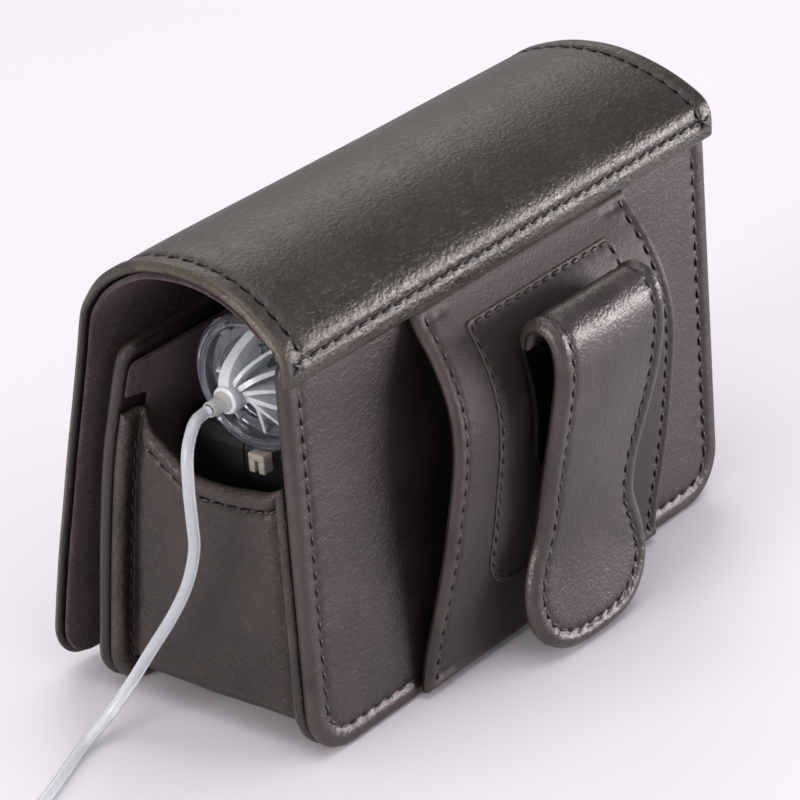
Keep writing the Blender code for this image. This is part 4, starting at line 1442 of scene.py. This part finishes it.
@dataclass
class BeltClip:
    """The sprung clip: a steel strip between two leather covers with a rolled rim."""

    cover: float = 1.0
    whole: float = 2.8
    backing: float = 0.6
    inset: float = 3.0
    shoulder: float = 0.8

    def build(self) -> None:
        """Make both covers and their stitches; the steel keeps its CAD shape."""
        line = BentLine(TONGUE_FACE)
        widths = smooth_line(TONGUE_HALF_WIDTHS, 8)
        order = np.argsort(widths[:, 0])
        fold_end = float(line.lengths[np.argmin(line.points[:, 0])])

        def half(t: np.ndarray) -> np.ndarray:
            """Half the tongue's width at each length."""
            z = np.interp(t, line.lengths, line.points[:, 1])
            found = np.interp(z, widths[order, 0], widths[order, 1])
            wider = self.shoulder * smoothstep(28.0, 46.0, z)
            return np.where(t < fold_end, 13.0 + self.shoulder, found + wider)

        cut = Cut(line.total, half)
        straight = Bend(line, -1.0, LOOP_CENTRE)

        def lay(x: np.ndarray, t: np.ndarray, height: np.ndarray) -> np.ndarray:
            """On the tongue's line, a little towards the far end at its shoulders."""
            points = straight.lay(x, t, height)
            points[:, 0] += self.shoulder * smoothstep(28.0, 46.0, points[:, 2])
            return points

        edge = Edge(
            self.whole, inset=self.inset, rise=0.22, groove=0.45, groove_width=0.6,
            pillow=0.35, radius=1.5)
        half_way = self.whole / 2

        def outer(d: np.ndarray, p: np.ndarray, x: np.ndarray, t: np.ndarray) -> np.ndarray:
            """The face that shows, its rim rolled to the middle of the whole thickness."""
            return edge.outer(d, p, np.ones_like(x)) + wavy(0.1, 9.0, 2.2)(d, p, x, t)

        def under(d: np.ndarray, p: np.ndarray, x: np.ndarray, t: np.ndarray) -> np.ndarray:
            """The face on the steel, which closes down over its edge."""
            return -half_way + (half_way - self.cover) * smoothstep(0.9, 2.1, d)

        def over(d: np.ndarray, p: np.ndarray, x: np.ndarray, t: np.ndarray) -> np.ndarray:
            """The backing's face on the steel."""
            top = self.whole - self.backing
            return -half_way - (top - half_way) * smoothstep(0.9, 2.1, d) - 0.04 * (d > 0)

        def behind(d: np.ndarray, p: np.ndarray, x: np.ndarray, t: np.ndarray) -> np.ndarray:
            """The backing's face towards the loop."""
            return -self.whole - edge.roll(d)

        piece = LeatherPiece("clip_outer_leather", cut, lay, outer, under, 0.7, 0.75).build()
        finish_piece(piece, LIT_CLIP_LEATHER, "clip_tongue", "case_leather", "clip_cover_outer")
        piece = LeatherPiece("clip_inner_leather", cut, lay, over, behind, 1.0, 1.0).build()
        finish_piece(piece, CASE_LEATHER, "clip_tongue", "case_leather", "clip_cover_inner")

        loop = cut.inset(self.inset)
        row = StitchRow("clip_stitches", pitch=2.6, length=2.15, radius=0.26)
        piece = row.build([seam_run(lay, np.vstack((loop, loop[:1])), -0.12)], THREAD)
        join_to(piece, "clip_tongue")


@dataclass
class Flap:
    """The flap: one piece of leather from the back seam over the top and down the front."""

    half: float = 55.8
    centre: float = -0.5
    leather: float = 1.5
    lining: float = 0.8
    inset: float = 4.0
    corner: float = 8.0
    near_rise: float = 1.5
    far_drop: float = 1.7
    hinge_start: Colour = (0.0, -24.2, 71.0)
    hinge_way: Colour = (0.0, 0.85, 0.527)
    hinge_length: float = 4.0

    def __post_init__(self) -> None:
        """Draw the flap's line in the side view."""
        self.line = BentLine(FLAP_FACE)
        self.bend = Bend(self.line, 1.0, self.centre)

    def lay(self, x: np.ndarray, t: np.ndarray, height: np.ndarray) -> np.ndarray:
        """Lay places on the flap, whose crest is higher at the near end.

        Args:
            x: How far each is to the side of the middle.
            t: How far from the back seam.
            height: How far above the outer face.

        Returns:
            The places in the case's coordinates.
        """
        points = self.bend.lay(x, t, height)
        crest = smoothstep(72.0, 81.0, points[:, 2])
        share = np.clip(-x / self.half, -1, 1)
        rise = np.where(share > 0, self.near_rise * share, self.far_drop * share)
        points[:, 2] += rise * crest
        return points

    def build(self) -> None:
        """Make the leather, its stitches and the suede under it."""
        cut = self._cut(self.line.total, self.half)
        edge = Edge(self.leather + 0.5, inset=self.inset, rise=0.14, groove=0.5, pillow=0.16)

        def outer(d: np.ndarray, p: np.ndarray, x: np.ndarray, t: np.ndarray) -> np.ndarray:
            """The grain side, slightly hollow between its ends where it is unsupported."""
            flat = np.column_stack((x * 0.5, t, np.zeros_like(x)))
            wave = 0.06 * waviness(flat, 9.0, 5.5) * smoothstep(4.0, 12.0, d)
            slow = 0.35 * waviness(flat, 30.0, 9.1) * smoothstep(4.0, 18.0, d)
            return edge.outer(d, p, np.ones_like(x)) + wave + slow

        def inner(d: np.ndarray, p: np.ndarray, x: np.ndarray, t: np.ndarray) -> np.ndarray:
            """The flesh side."""
            drop = 1 - np.sqrt(1 - np.clip(1 - d / 0.9, 0, 1) ** 2)
            return -self.leather + (self.leather - edge.thickness / 2) * drop

        piece = LeatherPiece("flap_leather_piece", cut, self.lay, outer, inner, 0.9, 0.8).build()
        dress(piece, FLAP_LEATHER)
        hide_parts("flap_leather", "flap_seam_strip")
        self._hinge(piece)

        loop = cut.inset(self.inset)
        row = StitchRow("flap_stitches", pitch=2.9, length=2.35, radius=0.29)
        closed = np.vstack((loop, loop[:1]))
        piece = row.build([seam_run(self.lay, closed, -0.08)], THREAD)
        self._hinge(piece)
        self._corner_stitches()
        self._lining()

    def _cut(self, length: float, half: float) -> Cut:
        """Square at the back seam and round at the front corners."""
        return rounded_cut(length, half, 0.8, self.corner)

    def _hinge(self, piece: bpy.types.Object) -> None:
        """Bake a piece's placement into its mesh; the hinge's two ends are worked out but not used.
        """
        start = np.array(self.hinge_start)
        end = start + self.hinge_length * np.array(self.hinge_way)
        tuple(metres_of(start))
        tuple(metres_of(end))
        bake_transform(piece)
        LOG.info("%s bends from case to flap", piece.name)

    def _corner_stitches(self) -> None:
        """Two crossing stitches at each end of the back seam."""
        runs = []
        for side in (-1, 1):
            edge = side * (self.half - 1.4)
            inner = edge - side * 2.6
            for ends in (((edge, 4.6), (inner, 2.6)), ((edge, 2.4), (inner, 4.4))):
                runs.append(seam_run(self.lay, np.array(ends), 0.34))
        row = StitchRow("corner_stitches", pitch=3.2, length=3.0, radius=0.34, slant=0.0)
        piece = row.build(runs, THREAD)
        join_to(piece, "case")

    def _lining(self) -> None:
        """The suede under the leather, from just past the fold."""
        start = float(self.line.lengths[4 * 10])
        length = self.line.total - start - 0.8
        cut = rounded_cut(length, self.half - 0.8, 1.0, self.corner - 0.6)
        depth = self.leather + GAP

        def lay(x: np.ndarray, t: np.ndarray, height: np.ndarray) -> np.ndarray:
            """Under the leather."""
            return self.lay(x, t + start, height - depth)

        def upper(d: np.ndarray, p: np.ndarray, x: np.ndarray, t: np.ndarray) -> np.ndarray:
            """The glued side."""
            return -self.lining / 2 * (1 - np.sqrt(1 - np.clip(1 - d / 0.4, 0, 1) ** 2))

        def lower(d: np.ndarray, p: np.ndarray, x: np.ndarray, t: np.ndarray) -> np.ndarray:
            """The napped side, slightly uneven."""
            flat = np.column_stack((x, t, np.zeros_like(x)))
            nap = 0.06 * waviness(flat, 2.1, 3.3) + 0.12 * waviness(flat, 8.0, 6.1)
            swell = nap * smoothstep(0.0, 1.0, d)
            return -self.lining + self.lining / 2 * (
                1 - np.sqrt(1 - np.clip(1 - d / 0.4, 0, 1) ** 2)) + swell

        piece = LeatherPiece("flap_suede", cut, lay, upper, lower, 1.2, 1.1).build()
        finish_piece(piece, SUEDE, "flap", "suede", "flap_lining")


# --- the oxygen unit -----------------------------------------------------------------


AXIS = Matrix.Translation((0.0, BARREL_Y, BARREL_Z)) @ Matrix.Rotation(math.pi / 2, 4, "Y")


def turned_piece(
    shape: bmesh.types.BMesh, profile: Sequence[tuple[float, float]], steps: int = 64,
    place: Matrix = AXIS,
) -> None:
    """Spin a closed profile into a ring or a disc.

    Args:
        shape: The mesh that it is added to, in millimetres of the case.
        profile: Points as (radius, distance along the axis).
        steps: How many faces go round.
        place: Where the axis lies.
    """
    verts = [shape.verts.new((radius, 0.0, height)) for radius, height in profile]
    edges = [shape.edges.new(pair) for pair in zip(verts, verts[1:] + verts[:1])]
    edges = [edge for edge in edges if max(abs(vert.co.x) for vert in edge.verts) > 1e-9]
    bmesh.ops.spin(
        shape, geom=verts + edges, cent=(0, 0, 0), axis=(0, 0, 1), dvec=(0, 0, 0),
        angle=2 * math.pi, steps=steps, use_merge=True, use_duplicate=False)
    bmesh.ops.remove_doubles(shape, verts=shape.verts, dist=1e-4)
    loose = [edge for edge in shape.edges if not edge.link_faces]
    bmesh.ops.delete(shape, geom=loose, context="EDGES")
    bmesh.ops.transform(shape, matrix=place, verts=shape.verts)


def to_frame(shape: bmesh.types.BMesh) -> None:
    """Move a mesh from the case's millimetres to the frame's metres."""
    shift = Matrix.Translation(Vector(CASE_ORIGIN))
    bmesh.ops.transform(
        shape, matrix=Matrix.Scale(MM, 4) @ shift, verts=shape.verts)


def bevelled(
    shape: bmesh.types.BMesh, width: float, segments: int = 2, angle: float = 35.0
) -> None:
    """Round a mesh's sharp edges.

    Args:
        shape: The mesh.
        width: How wide the rounding is.
        segments: How many faces make it.
        angle: Edges that turn by more than this, in degrees, are rounded.
    """
    shape.normal_update()
    sharp = [
        edge for edge in shape.edges
        if len(edge.link_faces) == 2 and edge.calc_face_angle(0.0) > math.radians(angle)]
    bmesh.ops.bevel(
        shape, geom=sharp, offset=width, affect="EDGES", segments=segments, profile=0.5,
        material=-1, clamp_overlap=True)


def joined(name: str, parts: Sequence[bmesh.types.BMesh]) -> bpy.types.Object:
    """Put several closed shapes into one piece.

    Args:
        name: The piece's name.
        parts: Its shapes, in millimetres of the case; they are freed here.

    Returns:
        The piece.
    """
    whole = bmesh.new()
    for part in parts:
        to_frame(part)
        bmesh.ops.recalc_face_normals(part, faces=part.faces)
        mesh = bpy.data.meshes.new("part")
        part.to_mesh(mesh)
        part.free()
        whole.from_mesh(mesh)
        bpy.data.meshes.remove(mesh)
    piece = add_object(name, whole)
    piece.data.set_sharp_from_angle(angle=math.radians(38))
    return piece


@dataclass
class OutletCap:
    """The clear twist cap at the tube end: rim, plate, frosted blades, nozzle and lock tab."""

    radius: float = 11.5
    face: float = -45.4
    back: float = -42.0
    blades: tuple[tuple[float, float, float, float, float], ...] = (
        (8.0, 2.1, 9.1, 8.3, -14.0), (-22.0, 0.7, 9.0, 7.4, -16.0),
        (-46.0, 0.9, 9.0, 7.0, -16.0), (-70.0, 0.7, 9.0, 6.6, -18.0),
        (-96.0, 0.9, 9.0, 6.0, -20.0), (-122.0, 0.7, 9.0, 5.0, -22.0),
        (-168.0, 0.8, 9.1, 2.4, -12.0), (132.0, 0.9, 9.1, 3.6, 16.0),
        (76.0, 0.6, 8.8, 2.2, 16.0))

    def build(self) -> None:
        """Make the cap's four pieces."""
        self._cap()
        self._blades()
        self._nozzle()
        self._tab()

    def _cap(self) -> None:
        """The clear plate with its thick rim, an inner ring and a grip lug."""
        r, face, back = self.radius, self.face, self.back
        body = bmesh.new()
        turned_piece(body, [
            (0.0, back), (r - 0.5, back), (r - 0.1, back - 0.2), (r, back - 0.7),
            (r, face + 0.8), (r - 0.15, face + 0.3), (r - 0.5, face), (r - 0.95, face + 0.35),
            (r - 1.25, face + 0.05), (r - 1.75, face + 0.1), (r - 2.05, face + 0.5),
            (r - 2.15, back - 1.5), (r - 2.9, back - 1.15), (7.4, back - 1.05),
            (7.2, back - 2.1), (6.9, back - 2.3), (6.5, back - 2.2), (6.4, back - 1.0),
            (0.0, back - 1.0)], 96)
        lugs = []
        for degrees, long in ((205.0, 1.5), (88.0, 1.3), (322.0, 1.3)):
            lug = bmesh.new()
            bmesh.ops.create_cube(lug, size=1.0, matrix=Matrix.Diagonal((long, 3.0, 2.2, 1.0)))
            bevelled(lug, 0.35, 3)
            turn = Matrix.Rotation(math.radians(degrees), 4, "X")
            away = Matrix.Translation((face + 1.7, 0.0, 0.0)) @ turn
            place = Matrix.Translation((0, BARREL_Y, BARREL_Z)) @ away @ Matrix.Translation(
                (0.0, 0.0, r - 1.6))
            bmesh.ops.transform(lug, matrix=place, verts=lug.verts)
            lugs.append(lug)
        piece = joined("outlet_cap_body", [body, *lugs])
        finish_piece(piece, RIM_CLEAR, "outlet_cap_turn", "clear_plastic", "outlet_cap")

    def _blades(self) -> None:
        """The hub and its curved blades."""
        parts = []
        hub = bmesh.new()
        turned_piece(hub, [
            (0.0, -43.2), (3.2, -43.2), (2.9, -44.2), (2.3, -46.4), (2.05, -48.6), (2.1, -50.0),
            (2.35, -50.5), (2.4, -51.1), (2.25, -51.7), (1.8, -52.0), (0.0, -52.0)], 40)
        parts.append(hub)
        for degrees, thick, reach, tall, sweep in self.blades:
            parts.append(self._blade(degrees, thick, reach, tall, sweep))
        piece = joined("outlet_cap_blades", parts)
        finish_piece(piece, FROSTED, "outlet_cap_turn", "frosted_plastic", "outlet_fins")

    def _blade(
        self, degrees: float, thick: float, reach: float, tall: float, sweep: float
    ) -> bmesh.types.BMesh:
        """One blade, swept round as it leaves the hub.

        Args:
            degrees: Where it leaves the hub.
            thick: Its thickness.
            reach: How far out it goes.
            tall: How high it stands on the plate at the hub.
            sweep: How far round it has turned at its tip, in degrees.

        Returns:
            The blade.
        """
        shape = bmesh.new()
        bmesh.ops.create_cube(shape, size=1.0)
        long_edges = [e for e in shape.edges if abs(e.verts[0].co.x - e.verts[1].co.x) > 0.5]
        bmesh.ops.subdivide_edges(shape, edges=long_edges, cuts=10, use_grid_fill=True)
        bevelled(shape, 0.05, 2)
        for vert in shape.verts:
            out = vert.co.x + 0.5
            away = 1.8 + out * (reach - 1.8)
            turn = math.radians(degrees + sweep * out**1.3)
            height = (vert.co.y + 0.5) * tall * (1 - 0.8 * out**1.9)
            side = vert.co.z * thick * (1.15 - 0.4 * out)
            lean = 0.3 * (vert.co.y + 0.5) * out
            flat = Vector((math.sin(turn), math.cos(turn)))
            square = Vector((math.cos(turn), -math.sin(turn)))
            place = flat * away + square * (side + lean)
            vert.co = Vector((self.back - 1.1 - height, BARREL_Y + place.x, BARREL_Z + place.y))
        return shape

    def _nozzle(self) -> None:
        """The short barb that the tube is pushed over."""
        body = bmesh.new()
        turned_piece(body, [
            (1.08, -52.05), (1.75, -52.05), (1.65, -52.5), (1.38, -52.9), (1.36, -53.4),
            (1.30, -54.4), (1.28, -55.2), (1.2, -55.5), (1.08, -55.5)], 36)
        piece = joined("outlet_barb", [body])
        finish_piece(piece, MILKY, "outlet_cap_turn", "frosted_plastic", "outlet_nozzle")

    def _tab(self) -> None:
        """The lock tab under the cap, with its two prongs."""
        top = BARREL_Z - self.radius - GAP
        parts = []
        for size, middle in (
                ((2.3, 3.2, 1.3), (-44.9, 0.0, top - 0.65)),
                ((2.3, 1.25, 2.4), (-44.9, -0.97, top - 2.2)),
                ((2.3, 1.25, 2.4), (-44.9, 0.97, top - 2.2))):
            block = bmesh.new()
            bmesh.ops.create_cube(block, size=1.0, matrix=Matrix.Diagonal((*size, 1.0)))
            bevelled(block, 0.3, 3)
            place = Matrix.Translation((middle[0], BARREL_Y + middle[1], middle[2]))
            bmesh.ops.transform(block, matrix=place, verts=block.verts)
            parts.append(block)
        piece = joined("cap_lock_prongs", parts)
        finish_piece(piece, NYLON, "outlet_cap_turn", "natural_nylon", "cap_lock_tab")


@dataclass
class OxygenUnit:
    """The unit inside the case, which keeps its CAD shapes and gets its finishes."""

    finishes: dict[str, Finish] = field(default_factory=lambda: {
        "base_board": BOARD,
        "clip_back_leg": STEEL, "clip_rivet_left": STEEL, "clip_rivet_right": STEEL,
        "clip_spring": STEEL, "panel_snap": SNAP, "flap_snap": SNAP,
        "housing_back_shell": HOUSING, "housing_front_shell": HOUSING,
        "control_board": CIRCUIT, "board_processor": BLACK, "board_capacitor": BLACK,
        "battery_cell": WRAPPER, "battery_contact_near": STEEL,
        "battery_contact_far": STEEL, "charge_socket": STEEL, "status_lens": LENS,
        "button_dome": SNAP, "power_button": BLACK, "cell_lead": BLACK,
        "barrel_saddle_near": HOUSING, "barrel_saddle_far": HOUSING,
        "cell_barrel": CLEAR_BARREL, "oxygen_cell_stack": PLATES, "barrel_end_cap": HOUSING,
        "inlet_filter": FELT, "barrel_seal": RUBBER,
        "coil_tie": TIE, "tube_connector": CLEAR, "connector_cap": BLUE,
    })

    def dress(self) -> None:
        """Give each kept CAD node its finish."""
        for name, finish in self.finishes.items():
            dress(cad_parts[name], finish)
        LOG.info("dressed %d CAD nodes", len(self.finishes))


# --- the outlet tube -----------------------------------------------------------------


@dataclass
class OutletTube:
    """The thin outlet tube: off the cap, down to the table, along it, and into its coil."""

    radius: float = 1.0
    route: tuple[Colour, ...] = (
        (-55.8, -8.0, 59.1), (-59.0, -8.2, 58.6), (-62.0, -8.9, 55.2),
        (-63.0, -9.3, 50.0), (-62.7, -9.0, 44.0), (-62.0, -8.2, 38.0),
        (-61.6, -5.6, 31.0), (-61.6, -1.6, 24.0), (-62.0, 3.2, 16.9),
        (-63.2, 7.6, 9.8), (-66.0, 10.6, 4.4), (-71.0, 11.4, 1.6),
        (-76.5, 9.7, 1.05), (-82.5, 7.4, 1.0), (-89.0, 5.2, 1.0),
        (-96.0, 3.4, 1.0), (-103.4, 2.1, 1.0), (-111.4, 1.5, 1.1),
    )
    tail: tuple[Colour, ...] = (
        (-114.0, -30.8, 5.6), (-108.6, -32.2, 3.9), (-103.2, -34.6, 3.4),
    )
    centre: tuple[float, float] = (-118.6, -13.6)
    outer: float = 14.2
    pitch: float = 2.05
    columns: int = 5
    layers: int = 4
    low: float = 1.6
    layer_rise: float = 2.0
    leave: float = 16.7

    def _coil(self) -> np.ndarray:
        """The coil's line: in and out by turns, layer on layer.

        Returns:
            Its points in the case's coordinates.
        """
        step = math.radians(12.0)
        turns = self.columns - 1
        points = []
        angle = math.pi / 2
        radius, height = self.outer, self.low
        for layer in range(self.layers):
            inward = layer % 2 == 0
            count = int(round(turns * 2 * math.pi / step))
            for index in range(count):
                share = index / count
                moved = share * turns * self.pitch
                radius = self.outer - moved if inward else self.outer - turns * self.pitch + moved
                points.append((angle, radius, height))
                angle += step
            radius = self.outer - turns * self.pitch if inward else self.outer
            if layer < self.layers - 1:
                count = int(round(math.pi / step))
                for index in range(count):
                    rise = float(smoothstep(0, 1, np.array(index / count)))
                    points.append((angle, radius, height + self.layer_rise * rise))
                    angle += step
                height += self.layer_rise
        line = np.array(points)
        left = (line[-1, 0] - line[:, 0])
        away = smoothstep(math.radians(70), 0.0, left)
        line[:, 1] += (self.leave - self.outer) * away
        line[:, 2] -= 0.4 * away
        return np.column_stack((
            self.centre[0] + line[:, 1] * np.cos(line[:, 0]),
            self.centre[1] + line[:, 1] * np.sin(line[:, 0]), line[:, 2]))

    def build(self) -> None:
        coil = self._coil()
        run_in = smooth_line((*self.route, tuple(coil[0]), tuple(coil[2])), 4)[:-4]
        run_out = smooth_line((tuple(coil[-3]), tuple(coil[-1]), *self.tail), 4)[4:]
        line = np.vstack((run_in[:-1], coil[:-1], run_out))
        total = float(lengths_along(line)[-1])
        data = bpy.data.curves.new("outlet_tube", "CURVE")
        data.dimensions = "3D"
        data.bevel_depth = self.radius * MM
        data.bevel_resolution = 3
        data.use_fill_caps = True
        spline = data.splines.new("POLY")
        spline.points.add(len(line) - 1)
        for point, place in zip(spline.points, metres_of(line)):
            point.co = (*place, 1.0)
        piece = bpy.data.objects.new("outlet_tube", data)
        bpy.context.scene.collection.objects.link(piece)
        finish_piece(piece, VINYL, "case", "tube_vinyl", "tube", "tube_coil", "tube_tail")
        LOG.info("outlet tube: %.3f m", total * MM)
        tuple(metres_of(np.array(self.route[0])))
        2 * self.radius * MM


# --- the studio ----------------------------------------------------------------------


@dataclass(frozen=True)
class Lamp:
    """One soft rectangular light: where it is, what it faces, its size, power and colour."""

    name: str
    place: Colour
    aim: Colour
    size: tuple[float, float]
    power: float
    colour: Colour


LAMPS = (
    Lamp("overhead", (-0.04, -0.10, 1.25), (0.0, 0.0, 0.03), (1.2, 1.2), 10.0, (1.0, 0.97, 0.97)),
    Lamp("crest", (0.84, 0.80, 0.78), (0.0, 0.0, 0.06), (0.7, 0.5), 3.2, (1.0, 0.96, 0.88)),
    Lamp("far_low", (0.95, -0.90, 0.11), (0.0, 0.0, 0.04), (1.0, 0.2), 19.0, (1.0, 0.95, 0.97)),
    Lamp("back_side", (-0.45, -1.20, 0.75), (0.0, 0.0, 0.04), (0.9, 0.6), 2.5, (0.98, 0.97, 1.0)),
    Lamp("near_end", (-1.15, 0.02, 0.34), (-0.05, 0.0, 0.05), (0.6, 0.5), 8.5, (1.0, 0.97, 0.95)),
)


@dataclass
class Studio:
    """The pale table, soft light and the camera."""

    azimuth: float = -49.583
    elevation: float = 26.327
    roll: float = -4.461
    eye: Colour = (-0.5054, -0.42464, 0.3634)
    lens: float = 202.5
    room_colour: tuple[float, float, float, float] = (1.0, 0.95, 0.98, 1.0)
    room_light: float = 0.38

    def build(self) -> None:
        """Set up the table, lights and camera."""
        self._camera()
        self._table()
        self._lights()

    def _camera(self) -> None:
        """The camera, looking down at the near end and the back."""
        a, e, r = (math.radians(value) for value in (self.azimuth, self.elevation, self.roll))
        back = Vector((math.sin(a) * math.cos(e), -math.cos(a) * math.cos(e), math.sin(e)))
        right = Vector((math.cos(a), math.sin(a), 0.0))
        up = back.cross(right)
        across = right * math.cos(r) + up * math.sin(r)
        above = up * math.cos(r) - right * math.sin(r)
        turn = Matrix((across, above, back)).transposed().to_4x4()
        turn.translation = self.eye
        camera = bpy.data.objects.new("camera", bpy.data.cameras.new("camera"))
        camera.data.lens = self.lens
        camera.data.sensor_width = 36.0
        camera.data.clip_start = 0.05
        camera.matrix_world = turn
        bpy.context.scene.collection.objects.link(camera)
        bpy.context.scene.camera = camera

    def _table(self) -> None:
        """The floor."""
        shape = bmesh.new()
        bmesh.ops.create_grid(shape, x_segments=1, y_segments=1, size=4.0)
        floor = add_object("table_top", shape, False)
        dress(floor, TABLE_TOP)

    def _lights(self) -> None:
        """A large overhead light with softer ones round it, and a pale room."""
        for lamp in LAMPS:
            data = bpy.data.lights.new(lamp.name, "AREA")
            data.shape = "RECTANGLE"
            data.size, data.size_y = lamp.size
            data.energy = lamp.power
            data.color = lamp.colour
            shone = bpy.data.objects.new(lamp.name, data)
            shone.location = lamp.place
            towards = Vector(lamp.aim) - Vector(lamp.place)
            shone.rotation_euler = towards.to_track_quat("-Z", "Y").to_euler()
            bpy.context.scene.collection.objects.link(shone)
        world = bpy.data.worlds.new("room")
        world.use_nodes = True
        background = world.node_tree.nodes["Background"]
        background.inputs["Color"].default_value = self.room_colour
        background.inputs["Strength"].default_value = self.room_light
        bpy.context.scene.world = world
        bpy.context.scene.view_settings.view_transform = "Standard"


def main() -> None:
    """Build every sub-assembly in order."""
    logging.basicConfig(level=logging.INFO, format="%(message)s")
    Studio().build()
    OutletTube().build()
    CasePanels().build()
    Gusset().build()
    BeltLoop().build()
    BeltClip().build()
    Flap().build()
    OutletCap().build()
    OxygenUnit().dress()


if __name__ == "__main__":
    main()
